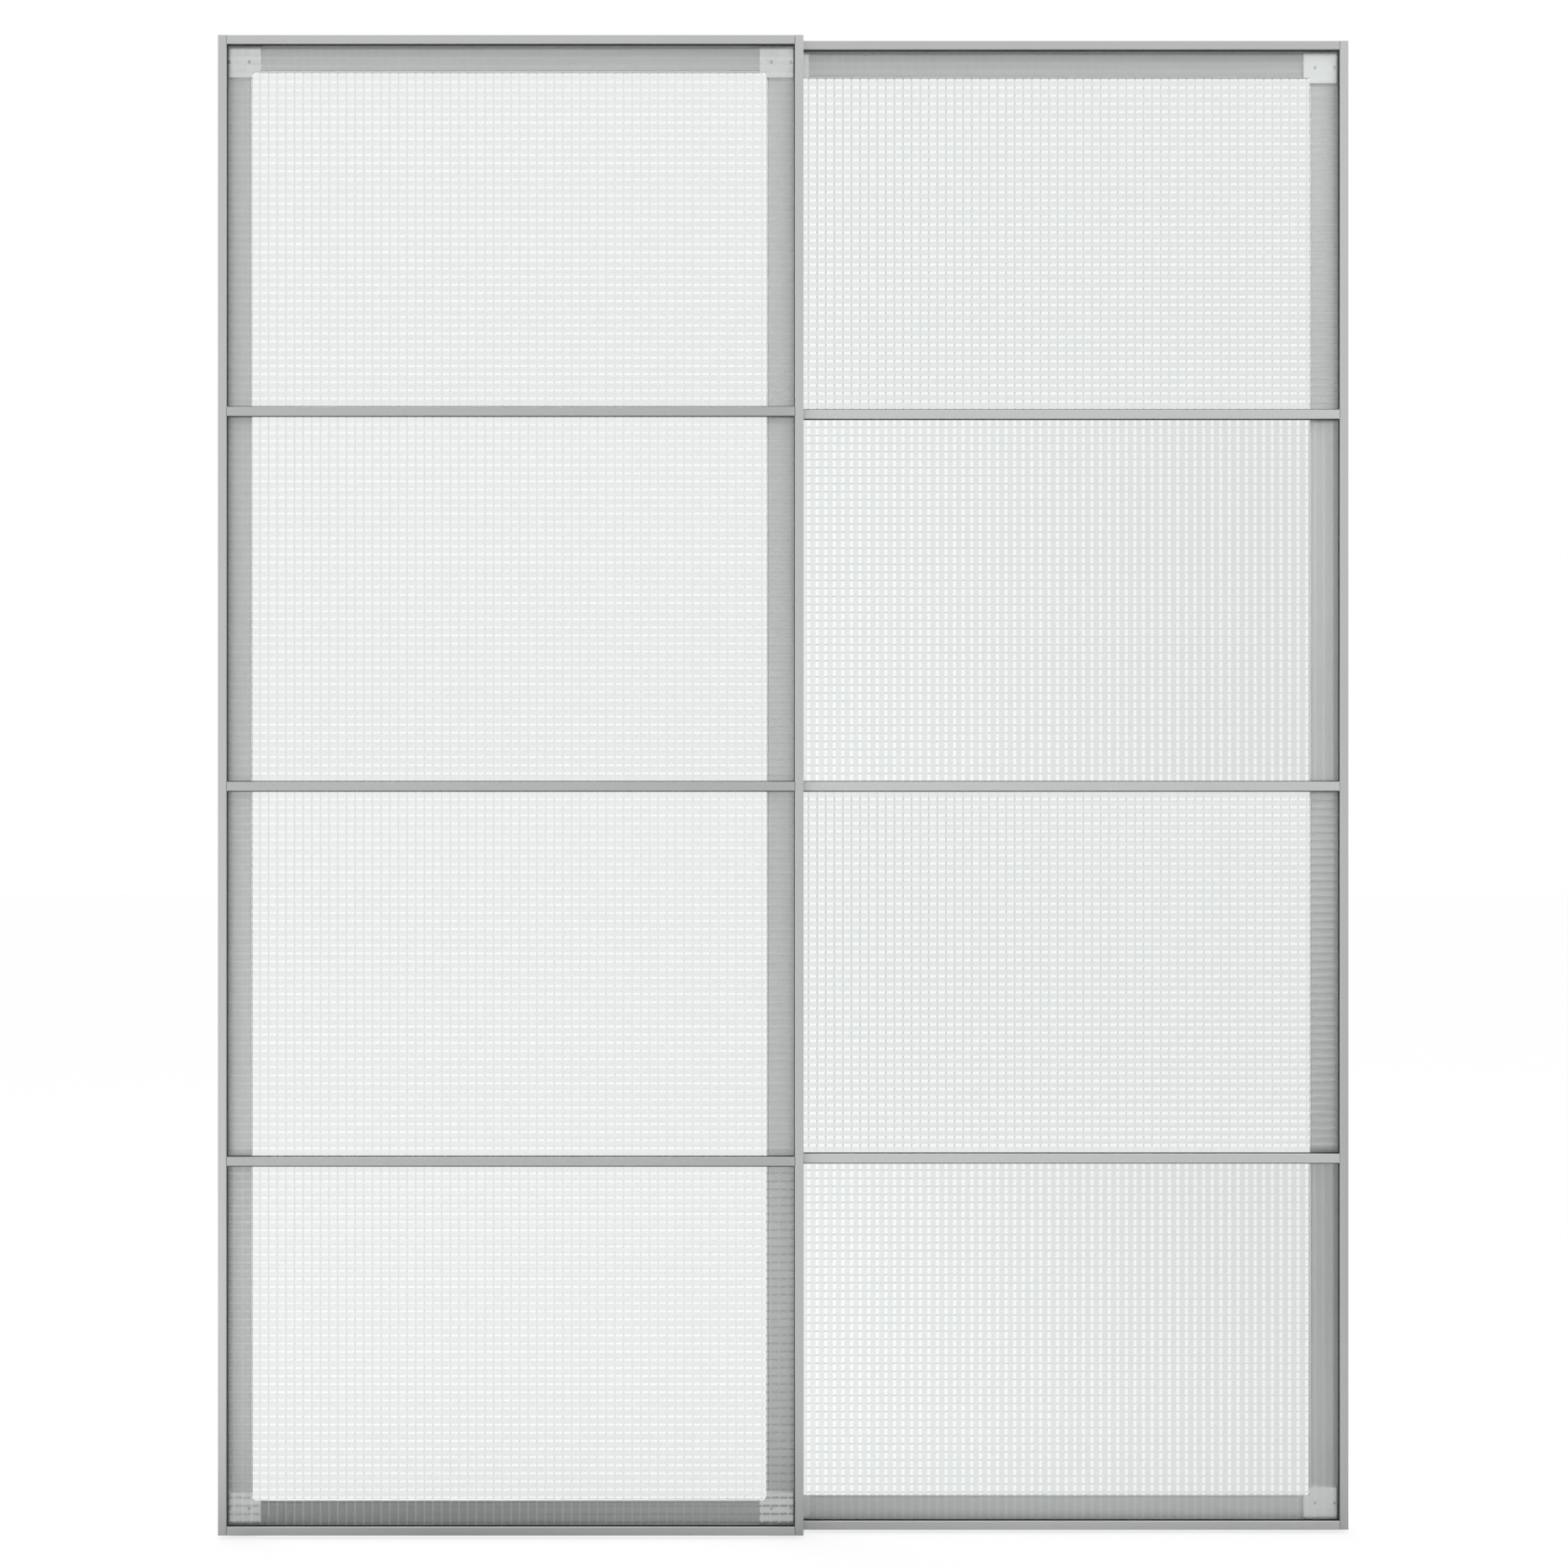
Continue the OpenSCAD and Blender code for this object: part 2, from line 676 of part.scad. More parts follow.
module upper_rail() {
    color("#aeb1b3") translate([0, -total_d / 2, top_z]) mirror([0, 0, 1]) difference() {
        running_rail();
        for (side = SIDES) stop_place(side) translate([0, 0, floor_h - past])
            cylinder(r = stop_screw_r + hole_gap, h = rail_t + 2 * past);
    }
}

module lower_rail() {
    color("#aeb1b3") translate([0, -total_d / 2, door_z]) running_rail();
}

// Stops that end the wheels' run, screwed to the upper rail's floor between the ribs
module stop_place(side) {
    s = side == "left" ? -1 : 1;
    translate([s * (set_w / 2 - stop_in - stop_len / 2), stop_screw_v, 0]) children();
}

module stop(side) {
    rib_slot = rib_track_w + 2 * stop_rib_gap;
    color("#3a3c3e") translate([0, -total_d / 2, top_z]) mirror([0, 0, 1]) difference() {
        stop_place(side) translate([-stop_len / 2, stop_low_v - stop_screw_v, stop_drop])
            cube([stop_len, rail_plate_v - stop_low_v, floor_h - stop_drop]);
        for (lane = lanes) translate([-set_w / 2, lane - rib_slot / 2, track_h - stop_rib_gap])
            cube([set_w, rib_slot, floor_h]);
        stop_place(side) translate([0, 0, floor_h - stop_screw_len])
            cylinder(r = stop_screw_r + thread_gap, h = stop_screw_len + past);
    }
}

module stop_screws() {
    head_h = floor_h + rail_t;
    color("#a7a9aa") translate([0, -total_d / 2, top_z]) mirror([0, 0, 1]) for (side = SIDES) stop_place(side)
        difference() {
            union() {
                translate([0, 0, floor_h - stop_screw_len])
                    cylinder(r = stop_screw_r, h = stop_screw_len + rail_t);
                translate([0, 0, head_h]) cylinder(r = corner_head_r, h = corner_head_t);
            }
            translate([0, 0, head_h + corner_head_t - corner_socket_d])
                hex_socket(corner_socket_r, corner_socket_d + past);
        }
}

for (door = DOORS) {
    for (side = SIDES) {
        place(door) stile(side);
        place(door) bracket(door, side, "top");
        place(door) bracket(door, side, "bottom");
        place(door) wheel(door, side);
        for (end = ENDS)
            place(door) corner_block(side, end);
    }
    for (end = ENDS)
        place(door) rail(end);
    for (k = [1 : panes - 1])
        place(door) divider(k);
    for (k = [1 : panes])
        place(door) pane(k);
    place(door) gaskets();
    place(door) corner_screws();
    place(door) frame_screws();
    place(door) axles(door);
    place(door) sliders(door);
}
upper_rail();
lower_rail();
stop("left");  // left_stop
stop("right");  // right_stop
stop_screws();
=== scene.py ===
"""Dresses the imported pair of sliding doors: finishes, patterned glass, light, floor and camera.

All sizes are in metres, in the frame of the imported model: X to the right, the front faces -Y, Z up.
"""

from __future__ import annotations

import logging
import math
from dataclasses import dataclass, field
from enum import Enum
from typing import Any

import bpy
import numpy as np
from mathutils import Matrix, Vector

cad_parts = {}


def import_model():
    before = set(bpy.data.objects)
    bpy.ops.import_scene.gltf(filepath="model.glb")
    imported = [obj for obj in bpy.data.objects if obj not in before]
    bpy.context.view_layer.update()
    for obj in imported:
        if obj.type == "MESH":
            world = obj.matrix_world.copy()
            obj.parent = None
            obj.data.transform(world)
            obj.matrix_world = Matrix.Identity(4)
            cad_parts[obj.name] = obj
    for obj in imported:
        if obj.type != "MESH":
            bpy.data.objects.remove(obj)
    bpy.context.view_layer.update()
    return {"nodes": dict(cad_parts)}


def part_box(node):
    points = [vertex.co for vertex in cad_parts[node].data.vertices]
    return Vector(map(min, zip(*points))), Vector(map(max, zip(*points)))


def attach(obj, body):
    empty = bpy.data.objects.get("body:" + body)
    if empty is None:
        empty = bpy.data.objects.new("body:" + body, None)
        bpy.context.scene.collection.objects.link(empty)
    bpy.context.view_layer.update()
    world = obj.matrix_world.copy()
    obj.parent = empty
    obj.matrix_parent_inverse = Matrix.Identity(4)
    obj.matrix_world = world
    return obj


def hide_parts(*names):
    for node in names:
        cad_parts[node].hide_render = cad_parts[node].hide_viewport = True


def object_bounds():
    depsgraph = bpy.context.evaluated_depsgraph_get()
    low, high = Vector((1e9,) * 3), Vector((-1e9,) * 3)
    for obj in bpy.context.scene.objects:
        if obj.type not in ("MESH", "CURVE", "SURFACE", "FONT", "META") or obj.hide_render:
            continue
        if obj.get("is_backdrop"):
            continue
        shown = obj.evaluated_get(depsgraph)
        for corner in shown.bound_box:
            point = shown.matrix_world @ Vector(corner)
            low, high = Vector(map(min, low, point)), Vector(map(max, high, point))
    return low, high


LOG = logging.getLogger("sliding_doors")

Colour = tuple[float, float, float]
Nodes = dict[str, bpy.types.Object]
Pair = tuple[float, float]
Point = tuple[float, float, float]
Stops = tuple[Pair, ...]

MADE: dict[str, bpy.types.Material] = {}
WHITE = (1.0, 1.0, 1.0, 1.0)
NOISE_ROUGHNESS = 0.55
NOISE_LOW = 0.3
NOISE_HIGH = 0.7
SPARE_STOP = 0.999


class Door(Enum):
    """The two doors of the pair."""

    FRONT = "front"
    REAR = "rear"

    @property
    def body(self) -> str:
        """Name of the body that the door's pieces ride on."""
        return f"{self.value}_door"

    def node(self, piece: str) -> str:
        """Name of the node of one of the door's pieces."""
        return f"{self.value}_{piece}"


class Run(Enum):
    """Axis along which an extrusion was drawn."""

    LEVEL = "X"
    UPRIGHT = "Z"


class DashRun(Enum):
    """Way in which the deep grooves of a pane's checks run."""

    LEVEL = "level"
    UPRIGHT = "upright"


class NodeSheet:
    """A material's or world's node tree with short calls to fill it."""

    def __init__(self, tree: bpy.types.NodeTree) -> None:
        """Empties the tree.

        Args:
            tree: Node tree to fill.
        """
        self.tree = tree
        tree.nodes.clear()

    def add(self, kind: str, inputs: dict[str, Any] | None = None, **props: Any) -> bpy.types.Node:
        """Adds a node.

        Args:
            kind: Blender's type name of the node.
            inputs: Values for the node's input sockets, by socket name.
            **props: Values for the node's own properties.

        Returns:
            The new node.
        """
        node = self.tree.nodes.new(kind)
        for name, value in props.items():
            setattr(node, name, value)
        for name, value in (inputs or {}).items():
            node.inputs[name].default_value = value
        return node

    def link(self, source: bpy.types.NodeSocket, target: bpy.types.NodeSocket) -> None:
        """Links an output socket to an input socket."""
        self.tree.links.new(source, target)


@dataclass(frozen=True)
class Finish:
    """Base of all finishes: a named material that is made once."""

    name: str

    def material(self) -> bpy.types.Material:
        """Gives the finish's material, made at the first call.

        Returns:
            The material.
        """
        if self.name not in MADE:
            made = bpy.data.materials.new(self.name)
            made.use_nodes = True
            self.fill(NodeSheet(made.node_tree))
            MADE[self.name] = made
        return MADE[self.name]

    def fill(self, sheet: NodeSheet) -> None:
        """Fills the material's nodes; each finish has its own way.

        Args:
            sheet: Empty node sheet of the material.
        """
        raise NotImplementedError

    def streaks(self, sheet: NodeSheet, scale: Point, detail: float) -> bpy.types.Node:
        """Adds a noise that is stretched by its scale along each axis.

        Args:
            sheet: Node sheet of the material.
            scale: Repeats per metre along X, Y and Z.
            detail: Octaves of the noise.

        Returns:
            The noise node.
        """
        place = sheet.add("ShaderNodeTexCoord")
        stretch = sheet.add("ShaderNodeMapping", {"Scale": scale})
        values = {"Scale": 1.0, "Detail": detail, "Roughness": NOISE_ROUGHNESS}
        noise = sheet.add("ShaderNodeTexNoise", values)
        sheet.link(place.outputs["Object"], stretch.inputs["Vector"])
        sheet.link(stretch.outputs["Vector"], noise.inputs["Vector"])
        return noise

    def ranged(
        self, sheet: NodeSheet, source: bpy.types.NodeSocket, low: float, high: float
    ) -> bpy.types.NodeSocket:
        """Maps a noise's middle range to a range of values.

        Args:
            sheet: Node sheet of the material.
            source: Noise value.
            low: Result for a low noise value.
            high: Result for a high noise value.

        Returns:
            The socket with the mapped value.
        """
        bounds = {"From Min": NOISE_LOW, "From Max": NOISE_HIGH, "To Min": low, "To Max": high}
        node = sheet.add("ShaderNodeMapRange", bounds)
        sheet.link(source, node.inputs["Value"])
        return node.outputs["Result"]

    def toned(
        self, sheet: NodeSheet, source: bpy.types.NodeSocket, first: Colour, second: Colour
    ) -> bpy.types.NodeSocket:
        """Mixes two colours by a value.

        Args:
            sheet: Node sheet of the material.
            source: Value that mixes them.
            first: Colour at 0.
            second: Colour at 1.

        Returns:
            The socket with the mixed colour.
        """
        node = sheet.add("ShaderNodeMix", data_type="RGBA")
        factor, low, high = node.inputs[0], node.inputs[6], node.inputs[7]
        low.default_value = (*first, 1.0)
        high.default_value = (*second, 1.0)
        sheet.link(source, factor)
        return node.outputs[2]

    def bumped(
        self, sheet: NodeSheet, source: bpy.types.NodeSocket, height: float, strength: float
    ) -> bpy.types.NodeSocket:
        """Turns a value into a bumped normal.

        Args:
            sheet: Node sheet of the material.
            source: Height value.
            height: Height of the bumps in metres.
            strength: Share of the bump that shows.

        Returns:
            The normal socket.
        """
        node = sheet.add("ShaderNodeBump", {"Strength": strength, "Distance": height})
        sheet.link(source, node.inputs["Height"])
        return node.outputs["Normal"]

    def surface(self, sheet: NodeSheet, values: dict[str, Any]) -> bpy.types.Node:
        """Adds the surface shader and the output.

        Args:
            sheet: Node sheet of the material.
            values: Plain values for the shader's sockets.

        Returns:
            The surface shader.
        """
        shader = sheet.add("ShaderNodeBsdfPrincipled", values)
        output = sheet.add("ShaderNodeOutputMaterial")
        sheet.link(shader.outputs["BSDF"], output.inputs["Surface"])
        return shader


def shade(colour: Colour, share: float) -> Colour:
    """Gives a colour times a share."""
    return (colour[0] * share, colour[1] * share, colour[2] * share)


@dataclass(frozen=True)
class SatinAluminium(Finish):
    """Anodised extrusion with fine draw lines along its length, which spread its gloss across them.

    Bead and flange give the share of the tint painted on those parts: a painted highlight on the bead,
    and painted light on the flange behind the glass that lifts it out of its shade. Their depths are
    shares of the way from the front to the back of the section.
    """

    tint: Colour = (0.64, 0.645, 0.648)
    # bead and flange are painted light: a highlight on the bead and a lighter flange behind the glass
    bead: float = 1.5
    flange: float = 1.24
    run: Run = Run.UPRIGHT
    roughness: float = 0.42
    spread: float = 0.04
    across_gloss: float = 0.65
    lines_per_m: float = 1700.0
    lengths_per_m: float = 7.0
    line_height: float = 0.00004
    line_bump: float = 0.25
    cloud: float = 0.03
    cloud_per_m: float = 3.0
    bead_depth: Pair = (0.4, 0.8)
    flange_depth: Pair = (0.895, 0.908)

    def fill(self, sheet: NodeSheet) -> None:
        """Fills draw lines into roughness and bump, a faint cloud into the colour, and painted light on
        bead and flange.
        """
        across, along = self.lines_per_m, self.lengths_per_m
        scale = (along, across, across) if self.run is Run.LEVEL else (across, across, along)
        lines = self.streaks(sheet, scale, 2.0)
        cloud = self.streaks(sheet, (self.cloud_per_m,) * 3, 1.0)
        shader = self.surface(sheet, {"Metallic": 1.0, "Anisotropic": self.across_gloss})
        way = sheet.add("ShaderNodeCombineXYZ", {"Z" if self.run is Run.LEVEL else "X": 1.0})
        sheet.link(way.outputs["Vector"], shader.inputs["Tangent"])
        dark, light = shade(self.tint, 1.0 - self.cloud), shade(self.tint, 1.0 + self.cloud)
        front = self.toned(sheet, cloud.outputs["Fac"], dark, light)
        low, high = self.roughness - self.spread, self.roughness + self.spread
        rough = self.ranged(sheet, lines.outputs["Fac"], low, high)
        # the colour gets a painted highlight on the bead and painted light on the flange, by depth
        sheet.link(self.painted_light_by_depth(sheet, front), shader.inputs["Base Color"])
        sheet.link(rough, shader.inputs["Roughness"])
        normal = self.bumped(sheet, lines.outputs["Fac"], self.line_height, self.line_bump)
        sheet.link(normal, shader.inputs["Normal"])

    def painted_light_by_depth(self, sheet: NodeSheet, front: bpy.types.NodeSocket) -> bpy.types.NodeSocket:
        """Paints a highlight on the bead and lighter metal on the flange behind the glass onto the lip's
        colour, by depth.

        Args:
            sheet: Node sheet of the material.
            front: Colour of the lip.

        Returns:
            The socket with the colour and its painted light by depth.
        """
        place = sheet.add("ShaderNodeTexCoord")
        split = sheet.add("ShaderNodeSeparateXYZ")
        bead_low, bead_high = self.bead_depth
        flange_low, flange_high = self.flange_depth
        to_bead = {"From Min": bead_low, "From Max": bead_high, "To Min": 1.0, "To Max": self.bead}
        drop = self.bead - self.flange
        to_flange = {"From Min": flange_low, "From Max": flange_high, "To Max": drop}
        rise = sheet.add("ShaderNodeMapRange", to_bead)
        fall = sheet.add("ShaderNodeMapRange", to_flange)
        share = sheet.add("ShaderNodeMath", operation="SUBTRACT")
        tone = sheet.add("ShaderNodeVectorMath", operation="SCALE")
        sheet.link(place.outputs["Generated"], split.inputs[0])
        sheet.link(split.outputs["Y"], rise.inputs["Value"])
        sheet.link(split.outputs["Y"], fall.inputs["Value"])
        sheet.link(rise.outputs["Result"], share.inputs[0])
        sheet.link(fall.outputs["Result"], share.inputs[1])
        sheet.link(front, tone.inputs[0])
        sheet.link(share.outputs[0], tone.inputs["Scale"])
        return tone.outputs["Vector"]


@dataclass(frozen=True)
class PlatedSteel(Finish):
    """Zinc-plated sheet or turned steel with a faint cloudy plating."""

    tint: Colour = (0.62, 0.63, 0.64)
    roughness: float = 0.34
    cloud: float = 0.13
    cloud_per_m: float = 160.0
    smoother: float = 0.06
    rougher: float = 0.1
    grain_per_m: float = 2600.0
    grain_height: float = 0.00003
    grain_bump: float = 0.2

    def fill(self, sheet: NodeSheet) -> None:
        """Fills the cloud into colour and roughness, and a fine grain into the bump."""
        cloud = self.streaks(sheet, (self.cloud_per_m,) * 3, 3.0)
        grain = self.streaks(sheet, (self.grain_per_m,) * 3, 1.0)
        shader = self.surface(sheet, {"Metallic": 1.0})
        dark, light = shade(self.tint, 1.0 - self.cloud), shade(self.tint, 1.0 + self.cloud)
        tone = self.toned(sheet, cloud.outputs["Fac"], dark, light)
        low, high = self.roughness - self.smoother, self.roughness + self.rougher
        rough = self.ranged(sheet, cloud.outputs["Fac"], low, high)
        sheet.link(tone, shader.inputs["Base Color"])
        sheet.link(rough, shader.inputs["Roughness"])
        normal = self.bumped(sheet, grain.outputs["Fac"], self.grain_height, self.grain_bump)
        sheet.link(normal, shader.inputs["Normal"])


@dataclass(frozen=True)
class MattMoulding(Finish):
    """Moulded plastic, rubber or matt paint with a fine eroded grain."""

    tint: Colour = (0.6, 0.6, 0.6)
    roughness: float = 0.5
    grain_per_m: float = 1800.0
    grain_height: float = 0.00005
    grain_bump: float = 0.3
    smoother: float = 0.05
    rougher: float = 0.06
    mottle: float = 0.04
    mottle_per_m: float = 60.0
    ior: float = 1.47

    def fill(self, sheet: NodeSheet) -> None:
        """Fills a slow mottle into the colour and the grain into roughness and bump."""
        slow = self.streaks(sheet, (self.mottle_per_m,) * 3, 2.0)
        grain = self.streaks(sheet, (self.grain_per_m,) * 3, 2.0)
        shader = self.surface(sheet, {"Metallic": 0.0, "IOR": self.ior})
        dark, light = shade(self.tint, 1.0 - self.mottle), shade(self.tint, 1.0 + self.mottle)
        low, high = self.roughness - self.smoother, self.roughness + self.rougher
        rough = self.ranged(sheet, grain.outputs["Fac"], low, high)
        sheet.link(self.toned(sheet, slow.outputs["Fac"], dark, light), shader.inputs["Base Color"])
        sheet.link(rough, shader.inputs["Roughness"])
        normal = self.bumped(sheet, grain.outputs["Fac"], self.grain_height, self.grain_bump)
        sheet.link(normal, shader.inputs["Normal"])


@dataclass(frozen=True)
class CheckGlass(Finish):
    """Clear pressed glass whose colour follows the tinted tones of its checks, with their painted
    highlights and shade.
    """

    clear: Colour = (0.984, 1.0, 0.992)
    roughness: float = 0.03
    ior: float = 1.5

    def fill(self, sheet: NodeSheet) -> None:
        """Fills glass that is tinted by the mesh's tones, painted light and shade included, and lets
        lamps through.
        """
        tone = sheet.add("ShaderNodeAttribute", attribute_name=CheckPane.TONE)
        values = {"Transmission Weight": 1.0, "IOR": self.ior, "Roughness": self.roughness}
        shader = sheet.add("ShaderNodeBsdfPrincipled", values)
        sheet.link(tone.outputs["Color"], shader.inputs["Base Color"])
        film = sheet.add("ShaderNodeBsdfTransparent", {"Color": (*self.clear, 1.0)})
        path = sheet.add("ShaderNodeLightPath")
        mix = sheet.add("ShaderNodeMixShader")
        output = sheet.add("ShaderNodeOutputMaterial")
        sheet.link(path.outputs["Is Shadow Ray"], mix.inputs["Fac"])
        sheet.link(shader.outputs["BSDF"], mix.inputs[1])
        sheet.link(film.outputs["BSDF"], mix.inputs[2])
        sheet.link(mix.outputs["Shader"], output.inputs["Surface"])


@dataclass(frozen=True)
class PaleFloor(Finish):
    """Pale studio floor that reads white and keeps a soft shadow; in mirrors it shows a painted shadow,
    darkest near the doors.
    """

    # near_half, near, reach and sides paint a shadow into the matt grey seen in mirrors: darkest near the
    # doors, varying along them by the ramp and from side to side
    near_half: float = 1.0
    near: Stops = (
        (0.0, 1.0), (0.15, 0.6), (0.275, 0.35), (0.4, 0.5),
        (0.525, 0.6), (0.68, 0.75), (0.8, 0.64), (1.0, 0.74),
    )
    reach: Pair = (0.1, 0.9)
    sides: Pair = (1.0, 0.46)
    side_reach: float = 2.0
    glow: float = 0.8
    shown: Colour = (0.2, 0.2, 0.2)

    def fill(self, sheet: NodeSheet) -> None:
        """Fills a white glow for rays that look at the floor, and for mirrored light a matt floor whose
        grey is a painted shadow, darker near the doors and from side to side.
        """
        matt = sheet.add("ShaderNodeBsdfDiffuse")
        place = sheet.add("ShaderNodeTexCoord")
        split = sheet.add("ShaderNodeSeparateXYZ")
        off = sheet.add("ShaderNodeMath", operation="ABSOLUTE")
        aside = sheet.add("ShaderNodeMath", operation="MULTIPLY")
        left, right = self.sides
        far = self.side_reach
        bounds = {"From Min": -far, "From Max": far, "To Min": left, "To Max": right}
        side = sheet.add("ShaderNodeMapRange", bounds)
        low, high = self.reach
        way = sheet.add("ShaderNodeMapRange", {"From Min": low, "From Max": high})
        along = sheet.add("ShaderNodeMapRange", {"From Min": -self.near_half, "From Max": self.near_half})
        painted_shadow_grey = sheet.add("ShaderNodeMath", operation="MULTIPLY")
        sheet.link(place.outputs["Object"], split.inputs[0])
        sheet.link(split.outputs["Y"], off.inputs[0])
        sheet.link(split.outputs["X"], aside.inputs[0])
        sheet.link(off.outputs[0], aside.inputs[1])
        sheet.link(aside.outputs[0], side.inputs["Value"])
        sheet.link(off.outputs[0], way.inputs["Value"])
        sheet.link(split.outputs["X"], along.inputs["Value"])
        # painted shadow: the ramp's grey near the doors, rising to full grey farther away
        sheet.link(ramped(sheet, along.outputs["Result"], self.near), way.inputs["To Min"])
        sheet.link(side.outputs["Result"], painted_shadow_grey.inputs[0])
        sheet.link(way.outputs["Result"], painted_shadow_grey.inputs[1])
        sheet.link(painted_shadow_grey.outputs[0], matt.inputs["Color"])
        shadow = sheet.add("ShaderNodeBsdfDiffuse", {"Color": (*self.shown, 1.0)})
        white = sheet.add("ShaderNodeEmission", {"Strength": self.glow})
        seen = sheet.add("ShaderNodeAddShader")
        mix = sheet.add("ShaderNodeMixShader")
        output = sheet.add("ShaderNodeOutputMaterial")
        sheet.link(white.outputs["Emission"], seen.inputs[0])
        sheet.link(shadow.outputs["BSDF"], seen.inputs[1])
        sheet.link(looked_at(sheet), mix.inputs["Fac"])
        sheet.link(matt.outputs["BSDF"], mix.inputs[1])
        sheet.link(seen.outputs["Shader"], mix.inputs[2])
        sheet.link(mix.outputs["Shader"], output.inputs["Surface"])


def ramped(sheet: NodeSheet, source: bpy.types.NodeSocket, stops: Stops) -> bpy.types.NodeSocket:
    """Adds a ramp of greys.

    Args:
        sheet: Node sheet of the floor or the world.
        source: Place on the ramp.
        stops: Place and grey of each stop, in order.

    Returns:
        The socket with the grey.
    """
    ramp = sheet.add("ShaderNodeValToRGB")
    elements = ramp.color_ramp.elements
    while len(elements) < len(stops):
        elements.new(SPARE_STOP)
    for element, (place, grey) in zip(elements, stops):
        element.position = place
        element.color = (grey, grey, grey, 1.0)
    sheet.link(source, ramp.inputs["Fac"])
    return ramp.outputs["Color"]


def looked_at(sheet: NodeSheet) -> bpy.types.NodeSocket:
    """Adds a value that is 1 for camera rays, also where they have come through glass.

    Args:
        sheet: Node sheet of the floor or the world.

    Returns:
        The socket with the value.
    """
    path = sheet.add("ShaderNodeLightPath")
    turns = sheet.add("ShaderNodeMath", operation="ADD")
    straight = sheet.add("ShaderNodeMath", {1: 0.5}, operation="LESS_THAN")
    through = sheet.add("ShaderNodeMath", operation="MULTIPLY")
    seen = sheet.add("ShaderNodeMath", operation="MAXIMUM")
    sheet.link(path.outputs["Glossy Depth"], turns.inputs[0])
    sheet.link(path.outputs["Diffuse Depth"], turns.inputs[1])
    sheet.link(turns.outputs[0], straight.inputs[0])
    sheet.link(straight.outputs[0], through.inputs[0])
    sheet.link(path.outputs["Is Transmission Ray"], through.inputs[1])
    sheet.link(through.outputs[0], seen.inputs[0])
    sheet.link(path.outputs["Is Camera Ray"], seen.inputs[1])
    return seen.outputs[0]


STILE_ALUMINIUM = SatinAluminium("stile_satin", run=Run.UPRIGHT)
RAIL_ALUMINIUM = SatinAluminium("rail_satin", run=Run.LEVEL)
# Darker and paler copies of the same aluminium: painted shade on the front door's dividers, painted light
# on the rear door's
DIVIDER_PAINTED_SHADE = SatinAluminium("divider_painted_shade_satin", tint=(0.56, 0.564, 0.567), run=Run.LEVEL)
DIVIDER_PAINTED_LIGHT = SatinAluminium("divider_painted_light_satin", tint=(0.735, 0.739, 0.742), run=Run.LEVEL)
TRACK_ALUMINIUM = SatinAluminium(
    "track_satin", tint=(0.6, 0.605, 0.61), bead=1.0, flange=1.0, run=Run.LEVEL
)
BRACKET_ZINC = PlatedSteel("bracket_zinc")
SCREW_ZINC = PlatedSteel("screw_zinc", tint=(0.64, 0.65, 0.65), roughness=0.28)
BLOCK_SILVER = PlatedSteel("block_silver", tint=(0.98, 0.985, 0.985), roughness=0.36, cloud=0.01)
GASKET_RUBBER = MattMoulding("gasket_black", tint=(0.014, 0.014, 0.015), roughness=0.68, mottle=0.15)
WHEEL_NYLON = MattMoulding("wheel_moulding", tint=(0.03, 0.031, 0.034), roughness=0.42, mottle=0.1)
SLIDER_NYLON = MattMoulding("slider_moulding", tint=(0.76, 0.76, 0.73), roughness=0.45)
STOP_PLASTIC = MattMoulding("stop_moulding", tint=(0.04, 0.041, 0.045), roughness=0.5, mottle=0.1)
CHECK_GLASS = CheckGlass("pressed_glass")


def dress(obj: bpy.types.Object, finish: Finish) -> None:
    """Gives a piece one finish.

    Args:
        obj: Piece to dress.
        finish: Finish that it gets.
    """
    obj.data.materials.clear()
    obj.data.materials.append(finish.material())
    LOG.info("%s: %s", obj.name, finish.name)


@dataclass(frozen=True)
class GrooveRow:
    """A row of like grooves across a pane."""

    pitch: float
    half_width: float
    depth: float
    steps: Stops
    middle_line: bool = False
    edge_clear: float = 1.5

    def lines(self, length: float) -> tuple[np.ndarray, np.ndarray]:
        """Lays the row over a length, its grooves centred on it.

        Args:
            length: Length that the row crosses.

        Returns:
            Places of the mesh lines along the length, and the share of the groove's depth at each.
        """
        count = math.floor(length / self.pitch)
        first = (length - count * self.pitch) / 2
        clear = self.edge_clear * self.half_width
        places, shares = [0.0], [0.0]
        for k in range(count + 1):
            middle = first + k * self.pitch
            if not clear < middle < length - clear:
                continue
            for step, share in self.steps:
                places.append(middle + step * self.half_width)
                shares.append(share)
            if self.middle_line and middle + self.pitch < length - clear:
                places.append(middle + self.pitch / 2)
                shares.append(0.0)
        return np.array([*places, length]), np.array([*shares, 0.0])


@dataclass(frozen=True)
class CheckTones:
    """Tones that a pane's front face is tinted with, from its left to its right edge where two are given;
    where the two differ, the slope across the pane is painted light and shade.

    The tile is the flat of a check. The dash, its deep groove, and the cross, its shallow groove, are
    given as
    a share of the tile: the dash is a painted highlight, and the cross is painted shade where below 1 and
    a painted glint where above 1. Line tells how much of a cross shows between dashes, and fade how much
    less at the foot. The foot shade darkens the tiles towards the foot as painted shade, gap parts the
    dashes where a cross meets them, uneven and grain vary dashes and points, and back is the share of the
    back face.
    """

    # dash paints highlights, cross paints shade lines, the foot share paints shade towards the foot
    tile: Pair = (0.74, 0.7)
    dash: Pair = (1.0, 1.0)
    cross: Pair = (0.55, 0.68)
    line: Pair = (0.6, 0.15)
    fade: float = 0.6
    gap: float = 0.9
    painted_foot_shade: float = 0.05
    back: float = 0.985
    uneven: float = 0.45
    grain: float = 0.04
    tint: Colour = (0.984, 1.0, 0.992)


